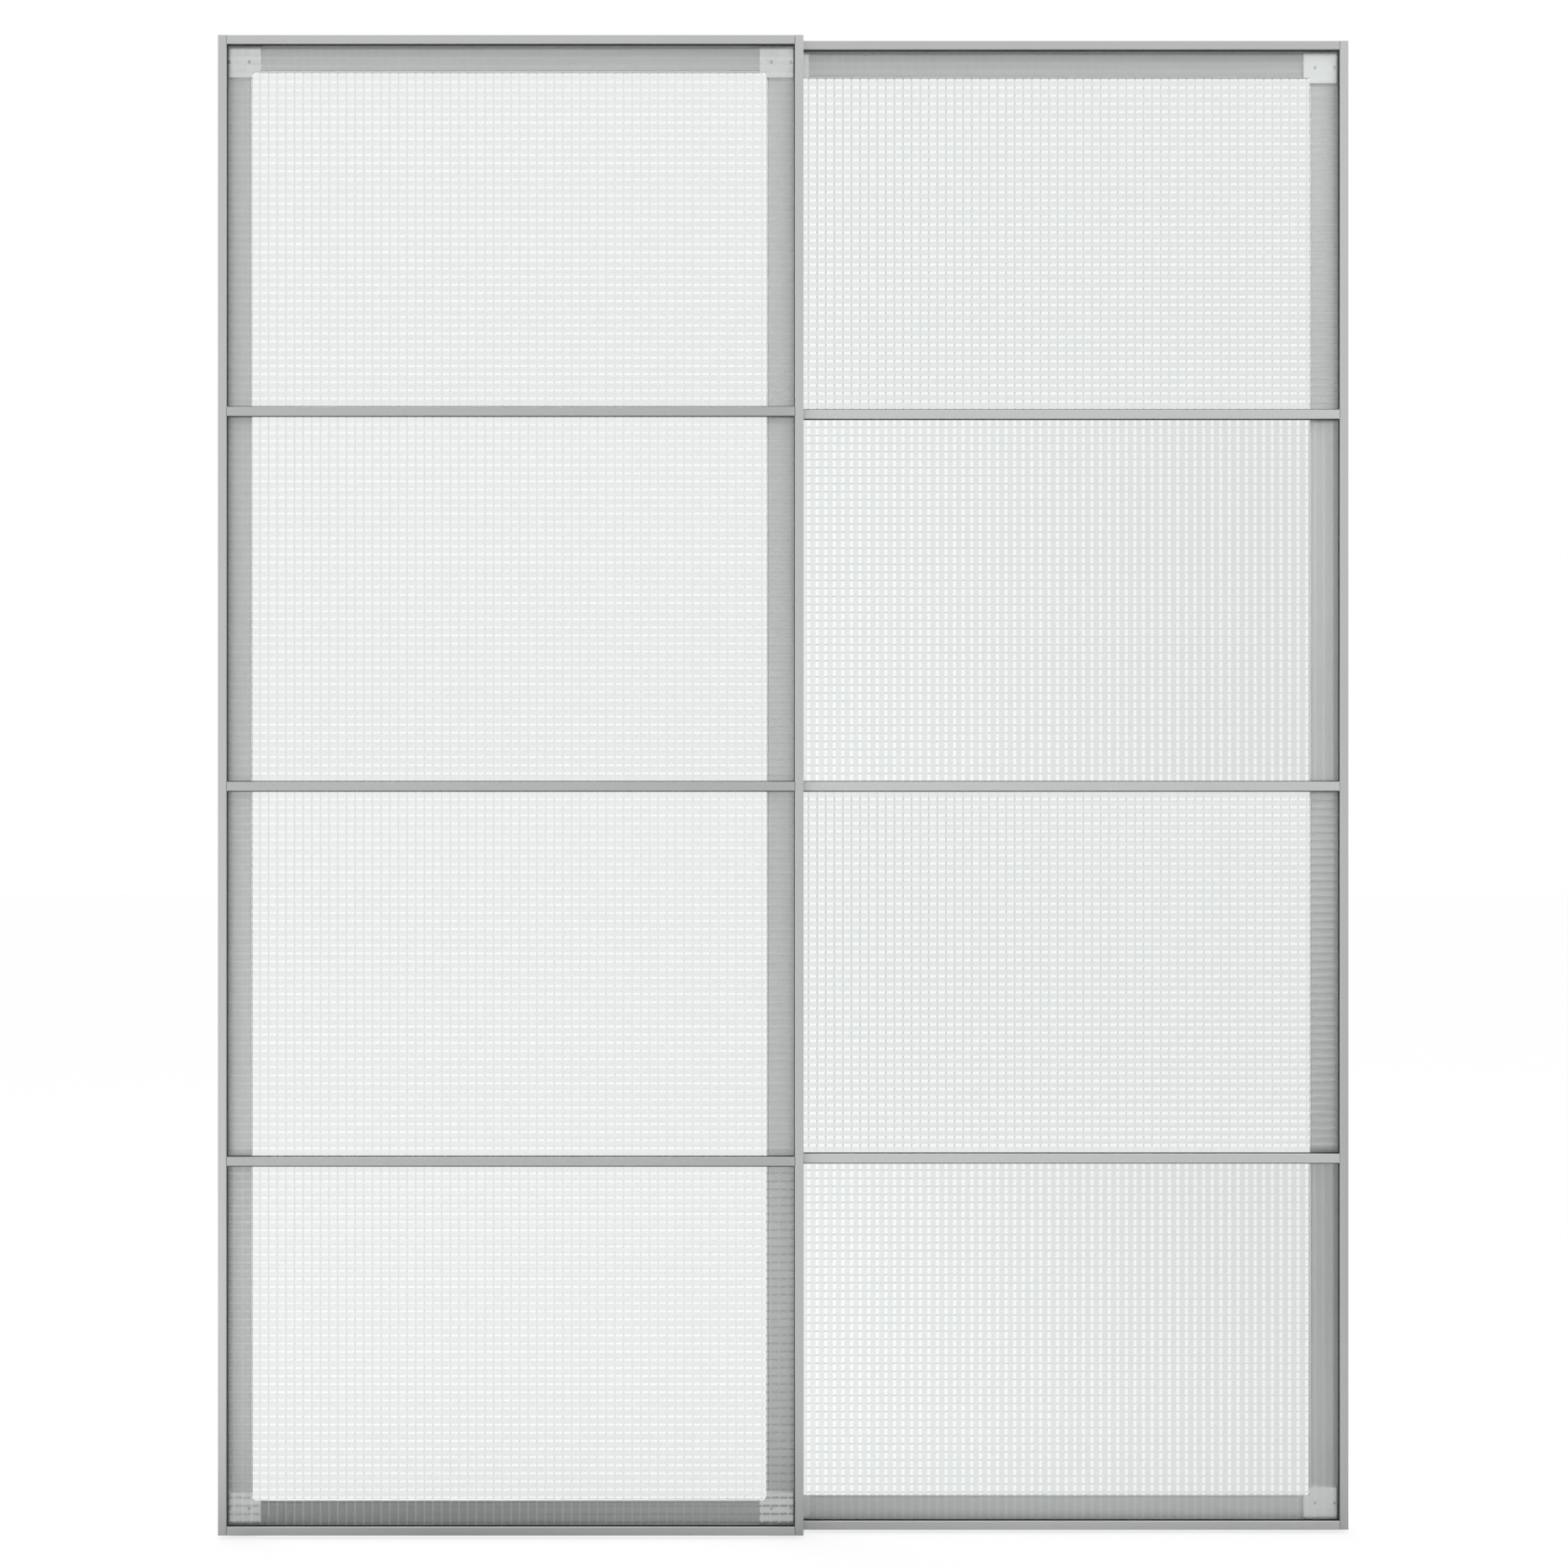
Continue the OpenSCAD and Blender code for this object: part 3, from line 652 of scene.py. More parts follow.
def lined_tones(tile: Pair, dash: Pair, cross: Pair, uneven: float) -> CheckTones:
    """Gives tones with full lines that stay the same up the pane, for painted light, shade and glints on
    glass in front of metal.

    Args:
        tile: Tones of the tiles.
        dash: Tones of the dashes.
        cross: Tones of the crosses.
        uneven: How much the dashes vary.

    Returns:
        The tones.
    """
    return CheckTones(tile, dash, cross, line=(1.0, 1.0), fade=0.0, painted_foot_shade=0.0, uneven=uneven)


COOL_TINT: Colour = (0.967, 1.0, 0.991)
# In each set the dashes are painted highlights and the crosses painted shade; where a pair's ends differ,
# the slope is painted light and shade across the pane
FRONT_TONES = CheckTones()
# painted shade: a darker lowest front pane, darker still towards its foot
LOW_PAINTED_SHADE_TONES = CheckTones(tile=(0.71, 0.67), painted_foot_shade=0.08)
REAR_TONES = CheckTones(
    tile=(0.7, 0.64), dash=(1.0, 0.94), cross=(0.15, 0.55), line=(0.4, 0.1),
    uneven=0.2, grain=0.05, tint=COOL_TINT,
)
UPRIGHT_TONES = CheckTones(
    tile=(0.71, 0.515), dash=(1.0, 0.79), cross=(0.3, 0.8), line=(0.3, 0.1),
    painted_foot_shade=0.02, uneven=0.1, tint=COOL_TINT,
)
# painted light over the metal behind the glass, with lines lighter than the tiles as painted glints
PAINTED_LIGHT_OVER_METAL = CheckTones(tile=(0.86, 0.86), cross=(1.16, 1.1), painted_foot_shade=0.0, grain=0.02)
# painted glints and darker dashes over the lowest front pane's metal
PAINTED_GLINT_TONES = lined_tones((0.76, 0.88), (1.0, 0.5), (1.32, 1.0), 0.1)
# painted shade with painted glints over the front door's bottom flange
PAINTED_FOOT_SHADE_AND_GLINTS = lined_tones((0.44, 0.7), (0.5, 0.5), (2.2, 0.9), 0.3)
# painted glints and dark dashes of painted shade over the front door's lower corner blocks
PAINTED_GLINTS_DASHED_BLOCK = lined_tones((0.82, 0.82), (0.5, 0.5), (2.2, 2.2), 0.3)
PAINTED_SHADE_BARRED_BLOCK = lined_tones((0.95, 0.95), (0.3, 0.3), (1.05, 1.05), 0.1)
# painted light over the rear door's corner blocks
PAINTED_LIGHT_BRIGHT_BLOCK = CheckTones(tile=(1.0, 1.0), cross=(1.0, 1.0), painted_foot_shade=0.0, grain=0.02)
PAINTED_LIGHT_PALE_BLOCK = CheckTones(tile=(0.94, 0.94), cross=(1.0, 1.0), painted_foot_shade=0.0, grain=0.02)


@dataclass(frozen=True)
class GlassZone:
    """Upright rectangle of a door's glass that has painted tones of its own."""

    x_low: float
    x_high: float
    z_low: float
    z_high: float
    ramp: float = 0.0003

    def seams(self, low: float, high: float, first: float, last: float) -> np.ndarray:
        """Gives the mesh lines that the zone's edges need between two ends of a pane.

        Args:
            low: Lower edge of the zone.
            high: Upper edge of the zone.
            first: Lower end of the pane.
            last: Upper end of the pane.

        Returns:
            Two close lines at each edge of the zone that lies on the pane.
        """
        half = self.ramp / 2
        places = np.array([low - half, low + half, high - half, high + half])
        return places[(places > first + self.ramp) & (places < last - self.ramp)]

    def shares(self, xs: np.ndarray, zs: np.ndarray) -> np.ndarray:
        """Tells for the crossings of lines whether they lie in the zone.

        Args:
            xs: Places along X.
            zs: Places along Z.

        Returns:
            1 inside the zone and 0 outside it, by X and by Z, with a last axis for colours.
        """
        inside_x = (xs > self.x_low) & (xs < self.x_high)
        inside_z = (zs > self.z_low) & (zs < self.z_high)
        return np.outer(inside_x, inside_z).astype(float)[..., None]


@dataclass
class CheckPane:
    """One pane of pressed glass: flat checks in front, parted by round grooves."""

    TONE = "tone"

    door: Door
    number: int
    dashes: DashRun
    opening: GlassZone
    tones: CheckTones = FRONT_TONES
    # near paints light over the metal behind the glass; patches paint light, shade and glints over parts
    # of it
    near: CheckTones = PAINTED_LIGHT_OVER_METAL
    painted_patches: list[tuple[GlassZone, CheckTones]] = field(default_factory=list)
    check_w: float = 0.01145
    check_h: float = 0.01073
    deep_half: float = 0.0019
    deep: float = 0.00042
    shallow_half: float = 0.0017
    shallow: float = 0.00012
    back_step: float = 0.05
    seed: int = 7
    row_share: float = 0.5
    deep_steps: Stops = ((-1.0, 0.0), (-0.35, 1.0), (0.35, 1.0), (1.0, 0.0))
    shallow_steps: Stops = ((-1.0, 0.0), (0.0, 1.0), (1.0, 0.0))

    @property
    def node(self) -> str:
        """Name of the pane's node."""
        return self.door.node(f"glass_{self.number}")

    @property
    def turned(self) -> bool:
        """Tells whether the dashes stand upright."""
        return self.dashes is DashRun.UPRIGHT

    def rows(self) -> tuple[GrooveRow, GrooveRow]:
        """Gives the upright grooves, laid across X, and the level grooves, laid up Z.

        Returns:
            The two rows.
        """
        deep = (self.deep_half, self.deep, self.deep_steps, False)
        shallow = (self.shallow_half, self.shallow, self.shallow_steps, True)
        upright = GrooveRow(self.check_w, *(deep if self.turned else shallow))
        level = GrooveRow(self.check_h, *(shallow if self.turned else deep))
        return upright, level

    def strengths(self, xs: np.ndarray, zs: np.ndarray) -> np.ndarray:
        """Draws how strongly each dash's painted highlight shows, row by row and check by check.

        Args:
            xs: Places of the mesh lines from the pane's left edge.
            zs: Places of the mesh lines from the pane's foot.

        Returns:
            The strength at each point, by X and by Z, from 0 to 1.
        """
        columns = np.floor(xs / self.check_w).astype(int)
        rows = np.floor(zs / self.check_h + 0.5).astype(int)
        if self.turned:
            columns = np.floor(xs / self.check_w + 0.5).astype(int)
            rows = np.floor(zs / self.check_h).astype(int)
        draw = np.random.default_rng(self.seed + self.number)
        each = draw.random((columns.max() + 1, rows.max() + 1))
        lines = draw.random(rows.max() + 1)[None, :]
        if self.turned:
            lines = draw.random(columns.max() + 1)[:, None]
        mixed = (1.0 - self.row_share) * each + self.row_share * lines
        return mixed[np.ix_(columns, rows)]

    def front_tones(
        self, tones: CheckTones, shares: tuple[np.ndarray, np.ndarray], xs: np.ndarray, zs: np.ndarray
    ) -> np.ndarray:
        """Mixes one zone's tones over the whole front face, with painted highlights on the dashes and
        painted shade on the crosses.

        Args:
            tones: Tones to mix.
            shares: Share of the deep and of the shallow grooves' depth at each point.
            xs: Places of the mesh lines from the pane's left edge.
            zs: Places of the mesh lines from the pane's foot.

        Returns:
            The tinted tone of each point, by X and by Z.
        """
        dash, cross = shares
        across, up = np.meshgrid(xs / xs[-1], zs / zs[-1], indexing="ij")
        slopes = (tones.tile, tones.dash, tones.cross, tones.line)
        tile, highlight_tone, cross_shade_and_glint, line = [first + (last - first) * across for first, last in slopes]
        # painted shade towards the foot, and painted light and shade across the pane from the tones' two
        # ends
        tile = tile * (1.0 + tones.painted_foot_shade * (up - 0.5))
        line = line * (1.0 - tones.fade * (1.0 - up))
        # light marks the dashes' painted highlights, dark the crosses' painted shade lines
        light = dash * (1.0 - tones.gap * cross) * (1.0 - tones.uneven * (1.0 - self.strengths(xs, zs)))
        dark = cross * (line + (1.0 - line) * dash) * (1.0 - cross_shade_and_glint)
        draw = np.random.default_rng(self.seed)
        grain = draw.uniform(1.0 - tones.grain, 1.0 + tones.grain, dash.shape)
        mixed = tile * (1.0 - dark * (1.0 - light)) + (highlight_tone - tile) * light
        return np.minimum(grain * mixed, 1.0)[..., None] * np.array(tones.tint)

    def zoned_tones(
        self, low: Vector, shares: tuple[np.ndarray, np.ndarray], xs: np.ndarray, zs: np.ndarray
    ) -> np.ndarray:
        """Puts the front face's tones together: clear opening, painted light over the metal behind the
        glass, and painted patches of light and shade.

        Args:
            low: Lowest corner of the pane.
            shares: Share of the deep and of the shallow grooves' depth at each point.
            xs: Places of the mesh lines from the pane's left edge.
            zs: Places of the mesh lines from the pane's foot.

        Returns:
            The tinted tone of each point, by X and by Z.
        """
        free = self.opening.shares(low.x + xs, low.z + zs)
        free_tones = self.front_tones(self.tones, shares, xs, zs)
        painted_over_metal = self.front_tones(self.near, shares, xs, zs)
        tones = free * free_tones + (1.0 - free) * painted_over_metal
        for zone, zone_tones in self.painted_patches:
            inside = zone.shares(low.x + xs, low.z + zs) * (1.0 - free)
            tones = inside * self.front_tones(zone_tones, shares, xs, zs) + (1.0 - inside) * tones
        return tones

    def back_tones(self, xs: np.ndarray, zs: np.ndarray) -> np.ndarray:
        """Gives the plain tones of the back face.

        Args:
            xs: Places of the mesh lines along X.
            zs: Places of the mesh lines along Z.

        Returns:
            The tinted tone of each point, by X and by Z.
        """
        free = self.opening.shares(xs, zs)
        free_back = self.tones.back * np.array(self.tones.tint)
        near_back = self.near.back * np.array(self.near.tint)
        return free * free_back + (1.0 - free) * near_back

    def back_lines(self, first: float, last: float, seams: np.ndarray) -> np.ndarray:
        """Gives the mesh lines of the back face between two ends of the pane.

        Args:
            first: Lower end of the pane.
            last: Upper end of the pane.
            seams: Places of the seams' lines from the lower end.

        Returns:
            All places in order.
        """
        even = np.linspace(first, last, max(2, round((last - first) / self.back_step)))
        return np.sort(np.concatenate([even, first + seams]))

    def build(self) -> bpy.types.Object:
        """Builds the pane in place of its node and dresses it.

        Returns:
            The new piece.
        """
        low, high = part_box(self.node)
        upright, level = self.rows()
        zones = [self.opening, *(zone for zone, _ in self.painted_patches)]
        x_edges = [zone.seams(zone.x_low, zone.x_high, low.x, high.x) for zone in zones]
        z_edges = [zone.seams(zone.z_low, zone.z_high, low.z, high.z) for zone in zones]
        x_seams = np.unique(np.concatenate(x_edges)) - low.x
        z_seams = np.unique(np.concatenate(z_edges)) - low.z
        xs, x_shares = self.seamed(*upright.lines(high.x - low.x), x_seams)
        zs, z_shares = self.seamed(*level.lines(high.z - low.z), z_seams)
        grid_x, grid_z = np.meshgrid(x_shares, z_shares, indexing="ij")
        depth = np.maximum(grid_x * upright.depth, grid_z * level.depth)
        shares = (grid_x, grid_z) if self.turned else (grid_z, grid_x)
        front = self.sheet_points(low.x + xs, low.z + zs, low.y + depth)
        back_xs = self.back_lines(low.x, high.x, x_seams)
        back_zs = self.back_lines(low.z, high.z, z_seams)
        back = self.sheet_points(back_xs, back_zs, np.full((len(back_xs), len(back_zs)), high.y))
        front_ids = np.arange(len(front)).reshape(len(xs), len(zs))
        back_ids = len(front) + np.arange(len(back)).reshape(len(back_xs), len(back_zs))
        points = np.concatenate([front, back])
        faces = self.sheet_faces(front_ids) + self.sheet_faces(back_ids[::-1])
        smooth = len(faces)
        faces += self.rim_faces(points, front_ids, back_ids)
        mesh = bpy.data.meshes.new(f"{self.node}_pressed")
        mesh.from_pydata(points.tolist(), [], faces)
        flags = [k < smooth for k in range(len(mesh.polygons))]
        mesh.polygons.foreach_set("use_smooth", flags)
        self.sharpen_rim(mesh, front_ids, back_ids)
        tone = mesh.attributes.new(self.TONE, "FLOAT_VECTOR", "POINT")
        # the tones carry painted highlights, shade and glints
        front_values = self.zoned_tones(low, shares, xs, zs)
        back_values = self.back_tones(back_xs, back_zs)
        values = np.concatenate([front_values.ravel(), back_values.ravel()])
        tone.data.foreach_set("vector", values.astype(np.float32))
        mesh.update()
        pane = bpy.data.objects.new(f"{self.node}_pressed", mesh)
        bpy.context.scene.collection.objects.link(pane)
        dress(pane, CHECK_GLASS)
        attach(pane, self.door.body)
        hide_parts(self.node)
        return pane

    @staticmethod
    def seamed(
        places: np.ndarray, shares: np.ndarray, seams: np.ndarray
    ) -> tuple[np.ndarray, np.ndarray]:
        """Adds the lines of seams between the lines of grooves.

        Args:
            places: Places of the grooves' lines.
            shares: Share of the groove's depth at each.
            seams: Places of the seams' lines.

        Returns:
            All places in order, and the share at each.
        """
        every = np.unique(np.concatenate([places, seams]))
        return every, np.interp(every, places, shares)

    @staticmethod
    def sharpen_rim(mesh: bpy.types.Mesh, *sheets: np.ndarray) -> None:
        """Marks the edges round the sheets as sharp, so that the flat sheets keep flat normals.

        Args:
            mesh: Mesh of the pane.
            *sheets: Numbers of each sheet's points, by X and by Z.
        """
        border = np.zeros(len(mesh.vertices), dtype=np.int32)
        for number, ids in enumerate(sheets, start=1):
            for line in (ids[0, :], ids[-1, :], ids[:, 0], ids[:, -1]):
                border[line] = number
        ends = np.empty(2 * len(mesh.edges), dtype=np.int32)
        mesh.edges.foreach_get("vertices", ends)
        first, second = border[ends[0::2]], border[ends[1::2]]
        sharp = mesh.attributes.new("sharp_edge", "BOOLEAN", "EDGE")
        sharp.data.foreach_set("value", (first > 0) & (first == second))

    @staticmethod
    def sheet_points(xs: np.ndarray, zs: np.ndarray, ys: np.ndarray) -> np.ndarray:
        """Gives the points of a sheet, X by X and up Z in each.

        Args:
            xs: Places along X.
            zs: Places along Z.
            ys: Place in depth of each point.

        Returns:
            One row of X, Y and Z for each point.
        """
        grid_x, grid_z = np.meshgrid(xs, zs, indexing="ij")
        return np.stack([grid_x.ravel(), ys.ravel(), grid_z.ravel()], axis=1)

    @staticmethod
    def sheet_faces(ids: np.ndarray) -> list[tuple[int, ...]]:
        """Gives the four-sided faces between a sheet's points.

        Args:
            ids: Numbers of the sheet's points, by X and by Z.

        Returns:
            Point numbers of each face.
        """
        corners = (ids[:-1, :-1], ids[1:, :-1], ids[1:, 1:], ids[:-1, 1:])
        return [tuple(face) for face in np.stack([c.ravel() for c in corners], axis=1).tolist()]

    @staticmethod
    def rim_faces(points: np.ndarray, front: np.ndarray, back: np.ndarray) -> list[tuple[int, ...]]:
        """Joins the edges of the front and back sheets by triangles.

        Args:
            points: All points.
            front: Numbers of the front sheet's points, by X and by Z.
            back: Numbers of the back sheet's points, by X and by Z.

        Returns:
            Point numbers of each triangle.
        """
        sides = (
            (front[:, 0], back[:, 0], 0, False),
            (front[:, -1], back[:, -1], 0, True),
            (front[0, :], back[0, :], 2, True),
            (front[-1, :], back[-1, :], 2, False),
        )
        faces: list[tuple[int, ...]] = []
        for near, far, axis, turned in sides:
            i = j = 0
            while i < len(near) - 1 or j < len(far) - 1:
                far_done = j == len(far) - 1
                step_near = far_done or (
                    i < len(near) - 1 and points[near[i + 1], axis] <= points[far[j + 1], axis]
                )
                tip = near[i + 1] if step_near else far[j + 1]
                face = (int(near[i]), int(far[j]), int(tip))
                faces.append(face[::-1] if turned else face)
                i, j = (i + 1, j) if step_near else (i, j + 1)
        return faces


@dataclass
class DoorLeaf:
    """One door: frame, dividers, panes, gaskets and corner joints."""

    door: Door
    divider_finish: Finish
    dividers: int = 3
    panes: int = 4
    upright_panes: tuple[int, ...] = ()
    # pane that gets a painted darker foot band with painted glints, and tones painted over the corner
    # blocks
    painted_glint_pane: int = 0
    painted_block_light_and_shade: dict[str, CheckTones] = field(default_factory=dict)
    level_dash: float = 0.0019
    upright_dash: float = 0.0029
    margin: float = 0.0012
    level_tones: CheckTones = FRONT_TONES
    upright_tones: CheckTones = UPRIGHT_TONES

    def dress_frame(self, nodes: Nodes) -> None:
        """Dresses stiles, rails and dividers.

        Args:
            nodes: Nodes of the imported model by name.
        """
        for side in ("left", "right"):
            dress(nodes[self.door.node(f"{side}_stile")], STILE_ALUMINIUM)
        for end in ("top", "bottom"):
            dress(nodes[self.door.node(f"{end}_rail")], RAIL_ALUMINIUM)
        for k in range(1, self.dividers + 1):
            dress(nodes[self.door.node(f"divider_{k}")], self.divider_finish)

    def dress_joints(self, nodes: Nodes) -> None:
        """Dresses corner blocks, screws and gaskets.

        Args:
            nodes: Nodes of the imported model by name.
        """
        for end in ("top", "bottom"):
            for side in ("left", "right"):
                dress(nodes[self.door.node(f"corner_{end}_{side}")], BLOCK_SILVER)
        for kind in ("corner_screws", "frame_screws"):
            dress(nodes[self.door.node(kind)], SCREW_ZINC)
        dress(nodes[self.door.node("gaskets")], GASKET_RUBBER)

    def build_panes(self) -> list[bpy.types.Object]:
        """Builds the door's panes.

        Returns:
            The panes from top to bottom.
        """
        panes = []
        for k in range(1, self.panes + 1):
            turned = k in self.upright_panes
            run = DashRun.UPRIGHT if turned else DashRun.LEVEL
            tones = self.upright_tones if turned else self.level_tones
            dash = self.upright_dash if turned else self.level_dash
            pane = CheckPane(self.door, k, run, self.opening(), tones, deep_half=dash)
            # the glint pane gets painted shade and glints, the end panes painted light and shade over the
            # corner blocks
            if k == self.painted_glint_pane:
                pane.tones, pane.near = LOW_PAINTED_SHADE_TONES, PAINTED_GLINT_TONES
                pane.painted_patches.append((self.foot(), PAINTED_FOOT_SHADE_AND_GLINTS))
            end = {1: "top", self.panes: "bottom"}.get(k, "none")
            for corner, painted_block_light_and_shade in self.painted_block_light_and_shade.items():
                if corner.startswith(end):
                    pane.painted_patches.append((self.block(corner), painted_block_light_and_shade))
            panes.append(pane.build())
        return panes

    def opening(self) -> GlassZone:
        """Measures the opening between the flanges, with a margin for the bead's own light.

        Returns:
            The clear opening of the door.
        """
        margin = self.margin
        return GlassZone(
            x_low=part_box(self.door.node("left_stile"))[1].x + margin,
            x_high=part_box(self.door.node("right_stile"))[0].x - margin,
            z_low=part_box(self.door.node("bottom_rail"))[1].z + margin,
            z_high=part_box(self.door.node("top_rail"))[0].z - margin,
        )

    def block(self, corner: str) -> GlassZone:
        """Measures the part of a pane in front of a corner block.

        Args:
            corner: End and side of the block.

        Returns:
            The part that the block fills.
        """
        low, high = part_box(self.door.node(f"corner_{corner}"))
        return GlassZone(low.x, high.x, low.z, high.z)

    def foot(self) -> GlassZone:
        """Measures the part of the lowest pane in front of the bottom flange, between the corner blocks.

        Returns:
            The part below the clear opening.
        """
        left, right = (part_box(self.door.node(f"corner_bottom_{side}")) for side in ("left", "right"))
        return GlassZone(left[1].x, right[0].x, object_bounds()[0].z, self.opening().z_low)


@dataclass
class RunningGear:
    """Brackets, wheels, axles and sliders of one door."""

    door: Door
    sides: tuple[str, ...] = ("left", "right")

    def dress(self, nodes: Nodes) -> None:
        """Dresses the running gear.

        Args:
            nodes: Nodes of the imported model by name.
        """
        for side in self.sides:
            dress(nodes[self.door.node(f"hanger_{side}")], BRACKET_ZINC)
            dress(nodes[self.door.node(f"guide_{side}")], BRACKET_ZINC)
            dress(nodes[self.door.node(f"wheel_{side}")], WHEEL_NYLON)
        dress(nodes[self.door.node("axles")], SCREW_ZINC)
        dress(nodes[self.door.node("sliders")], SLIDER_NYLON)


@dataclass
class RailSet:
    """The two running rails and the stops."""

    rails: tuple[str, ...] = ("upper_rail", "lower_rail")
    stops: tuple[str, ...] = ("left_stop", "right_stop")

    def dress(self, nodes: Nodes) -> None:
        """Dresses rails, stops and stop screws.

        Args:
            nodes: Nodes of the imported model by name.
        """
        for rail in self.rails:
            dress(nodes[rail], TRACK_ALUMINIUM)
        for stop in self.stops:
            dress(nodes[stop], STOP_PLASTIC)
        dress(nodes["stop_screws"], SCREW_ZINC)


@dataclass(frozen=True)
class SoftLamp:
    """A flat soft lamp that faces a point."""

    name: str
    place: Point
    aim: Point
    size: Pair
    watts: float
    tint: Colour = (1.0, 1.0, 1.0)

    def build(self) -> bpy.types.Object:
        """Builds the lamp.

        Returns:
            The lamp object.
        """
        light = bpy.data.lights.new(self.name, "AREA")
        light.shape = "RECTANGLE"
        light.size, light.size_y = self.size
        light.energy = self.watts
        light.color = self.tint
        lamp = bpy.data.objects.new(self.name, light)
        lamp.location = self.place
        way = Vector(self.aim) - Vector(self.place)
        lamp.rotation_euler = way.to_track_quat("-Z", "Y").to_euler()
        bpy.context.scene.collection.objects.link(lamp)
        return lamp


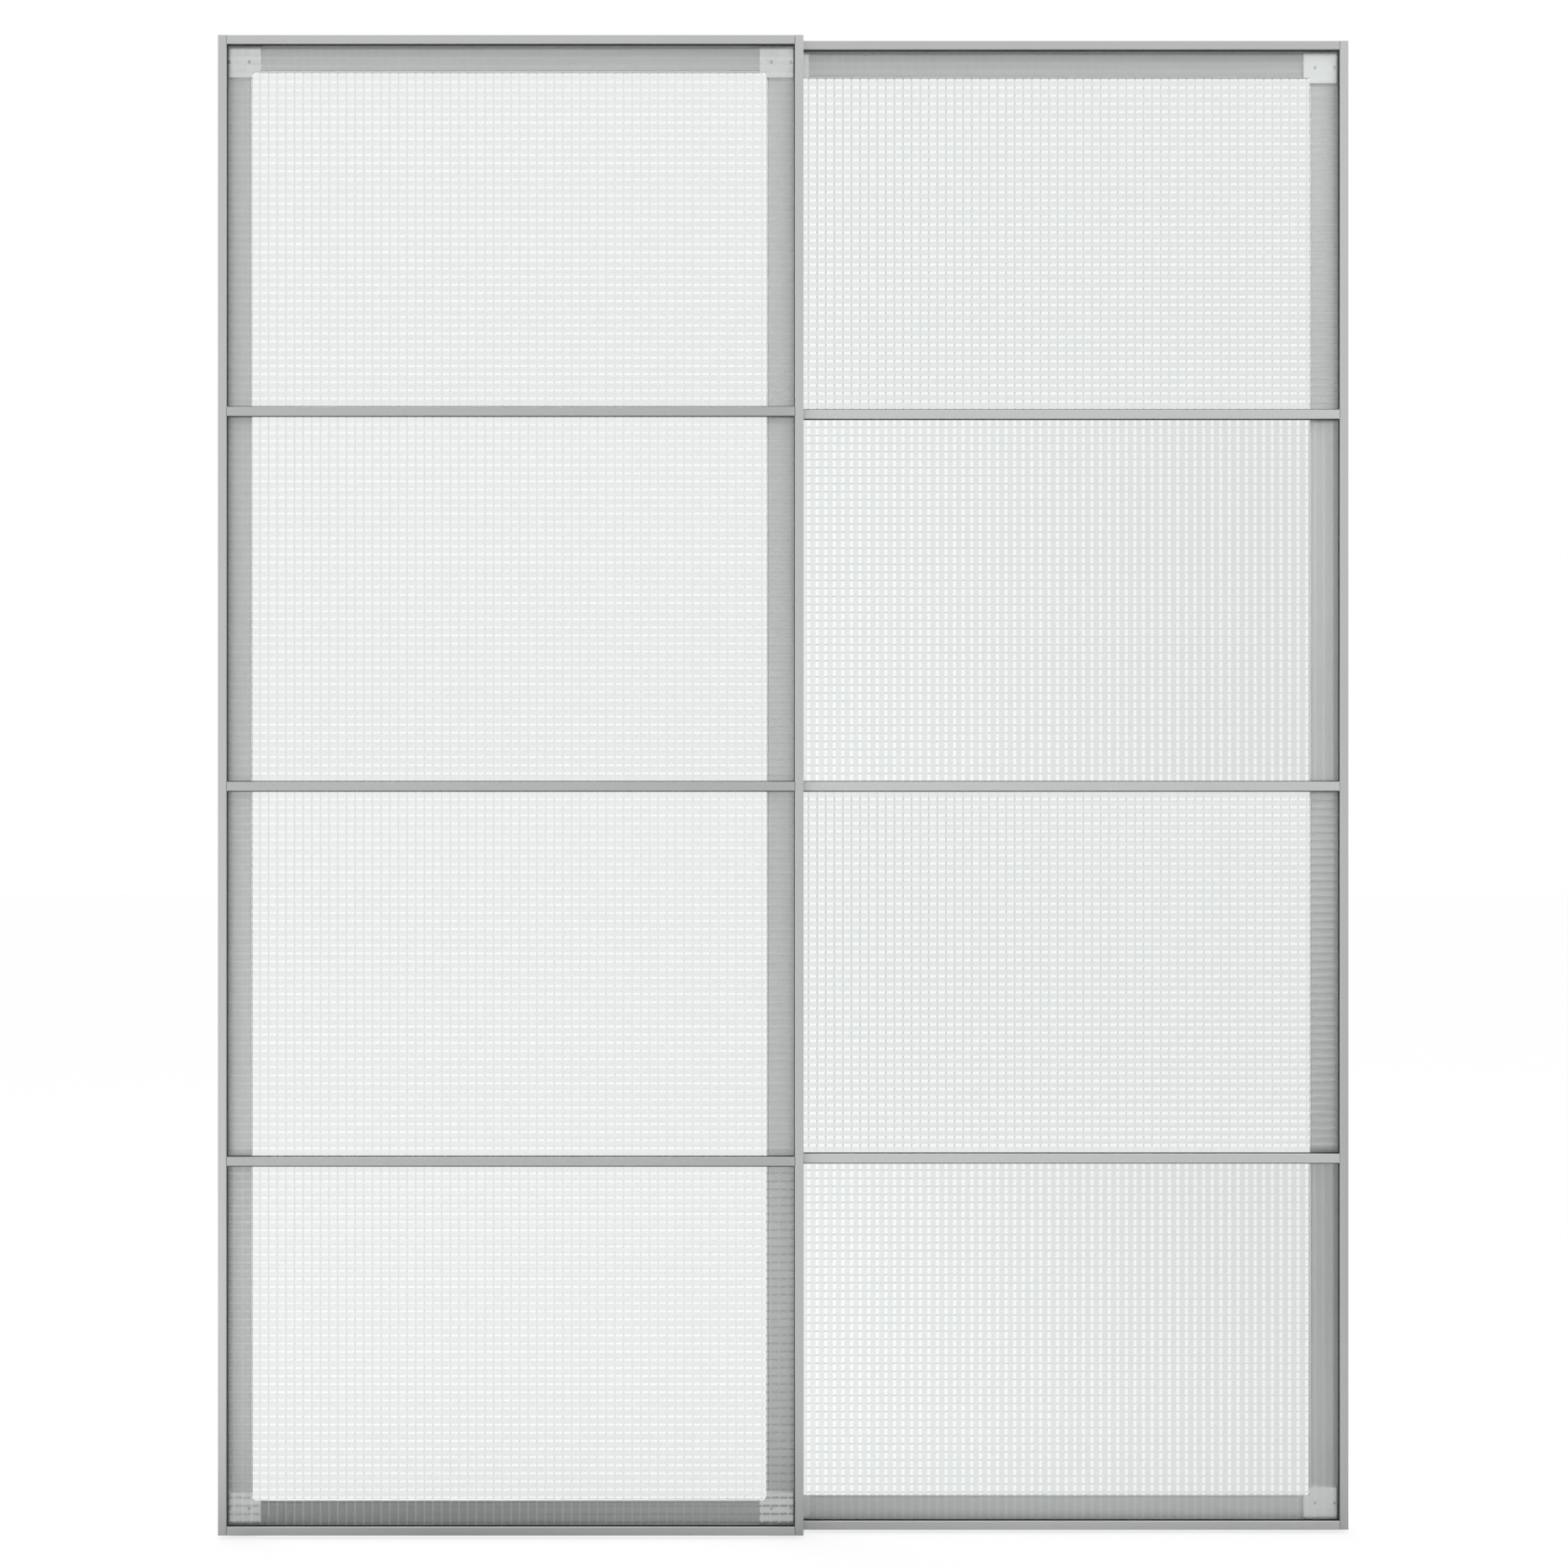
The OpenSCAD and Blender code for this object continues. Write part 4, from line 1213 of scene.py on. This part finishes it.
@dataclass
class Studio:
    """Floor, backdrop, lamps and camera."""

    floor_z: float = -0.001
    floor_half: float = 30.0
    sky: float = 1.0
    front_lean: Point = (-0.5, 0.0, 1.0)
    front_reach: float = 0.5
    front_turn: Pair = (-0.95, -0.2)
    front: Stops = ((0.02, 0.35), (0.42, 0.99), (0.55, 0.97), (0.62, 0.67), (0.7, 0.66), (0.8, 0.76))
    camera_place: Point = (-0.0018, -5.092, 0.9972)
    lens_mm: float = 87.64
    sensor_mm: float = 36.0
    sight: float = 100.0
    lamps: list[SoftLamp] = field(
        default_factory=lambda: [
            SoftLamp("key_lamp", (3.0, -2.8, 4.4), (0.0, 0.0, 1.1), (2.0, 2.0), 30.0),
            SoftLamp("back_lamp", (-1.6, 2.6, 4.8), (0.0, 0.0, 1.0), (3.0, 1.6), 60.0),
        ]
    )

    def build_floor(self) -> bpy.types.Object:
        """Builds the pale floor under the doors.

        Returns:
            The floor object.
        """
        half, z = self.floor_half, self.floor_z
        mesh = bpy.data.meshes.new("floor")
        corners = [(-half, -half, z), (half, -half, z), (half, half, z), (-half, half, z)]
        mesh.from_pydata(corners, [], [(0, 1, 2, 3)])
        floor = bpy.data.objects.new("floor", mesh)
        bpy.context.scene.collection.objects.link(floor)
        dress(floor, PaleFloor("pale_floor"))
        floor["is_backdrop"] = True
        return floor

    def build_world(self) -> None:
        """Builds the sky: white where it is looked at, dimmer in mirrors behind the camera."""
        world = bpy.data.worlds.new("studio")
        world.use_nodes = True
        sheet = NodeSheet(world.node_tree)
        sky = sheet.add("ShaderNodeBackground", {"Color": WHITE})
        white = sheet.add("ShaderNodeBackground", {"Color": WHITE, "Strength": 1.0})
        mix = sheet.add("ShaderNodeMixShader")
        output = sheet.add("ShaderNodeOutputWorld")
        sheet.link(self.mirrored(sheet), sky.inputs["Strength"])
        sheet.link(looked_at(sheet), mix.inputs["Fac"])
        sheet.link(sky.outputs["Background"], mix.inputs[1])
        sheet.link(white.outputs["Background"], mix.inputs[2])
        sheet.link(mix.outputs["Shader"], output.inputs["Surface"])
        bpy.context.scene.world = world

    def mirrored(self, sheet: NodeSheet) -> bpy.types.NodeSocket:
        """Adds the sky's strength by direction: white all round, dimmer and darkest low in front.

        Args:
            sheet: Node sheet of the world.

        Returns:
            The socket with the strength.
        """
        place = sheet.add("ShaderNodeTexCoord")
        split = sheet.add("ShaderNodeSeparateXYZ")
        lean = sheet.add("ShaderNodeVectorMath", {1: self.front_lean}, operation="DOT_PRODUCT")
        span = {"From Min": -self.front_reach, "From Max": self.front_reach}
        rise = sheet.add("ShaderNodeMapRange", span)
        facing, aside = self.front_turn
        turn = {"From Min": facing, "From Max": aside, "To Min": 1.0, "To Max": 0.0}
        front = sheet.add("ShaderNodeMapRange", turn, interpolation_type="SMOOTHSTEP")
        mix = sheet.add("ShaderNodeMix", {0: 0.0, 2: self.sky}, data_type="FLOAT")
        sheet.link(place.outputs["Generated"], split.inputs[0])
        sheet.link(place.outputs["Generated"], lean.inputs[0])
        sheet.link(lean.outputs["Value"], rise.inputs["Value"])
        sheet.link(split.outputs["Y"], front.inputs["Value"])
        sheet.link(front.outputs["Result"], mix.inputs[0])
        sheet.link(ramped(sheet, rise.outputs["Result"], self.front), mix.inputs[3])
        return mix.outputs[0]

    def build_camera(self) -> bpy.types.Object:
        """Builds the camera straight in front of the doors.

        Returns:
            The camera object.
        """
        data = bpy.data.cameras.new("camera")
        data.lens = self.lens_mm
        data.sensor_width = self.sensor_mm
        data.clip_end = self.sight
        camera = bpy.data.objects.new("camera", data)
        camera.location = self.camera_place
        camera.rotation_euler = (math.pi / 2, 0.0, 0.0)
        bpy.context.scene.collection.objects.link(camera)
        bpy.context.scene.camera = camera
        return camera

    def build(self) -> None:
        """Builds the whole studio."""
        self.build_camera()
        self.build_floor()
        self.build_world()
        for lamp in self.lamps:
            lamp.build()
            LOG.info("%s: %.0f W", lamp.name, lamp.watts)
        bpy.context.scene.view_settings.view_transform = "Standard"


def main() -> None:
    """Builds and dresses the pair of doors, then the studio."""
    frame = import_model()
    nodes: Nodes = frame["nodes"]
    front = DoorLeaf(Door.FRONT, DIVIDER_PAINTED_SHADE, painted_glint_pane=4)
    # painted glints and shade over the front door's lower blocks, painted light over the rear door's
    # blocks
    front.painted_block_light_and_shade = {"bottom_left": PAINTED_GLINTS_DASHED_BLOCK, "bottom_right": PAINTED_SHADE_BARRED_BLOCK}
    rear = DoorLeaf(Door.REAR, DIVIDER_PAINTED_LIGHT, upright_panes=(2, 4), level_tones=REAR_TONES)
    rear.level_dash = 0.0023
    rear.painted_block_light_and_shade = dict.fromkeys(("top_left", "top_right", "bottom_left"), PAINTED_LIGHT_BRIGHT_BLOCK)
    rear.painted_block_light_and_shade["bottom_right"] = PAINTED_LIGHT_PALE_BLOCK
    for leaf in (front, rear):
        leaf.dress_frame(nodes)
        leaf.dress_joints(nodes)
        leaf.build_panes()
        RunningGear(leaf.door).dress(nodes)
    RailSet().dress(nodes)
    Studio().build()


if __name__ == "__main__":
    logging.basicConfig(level=logging.INFO, format="%(name)s: %(message)s")
    main()
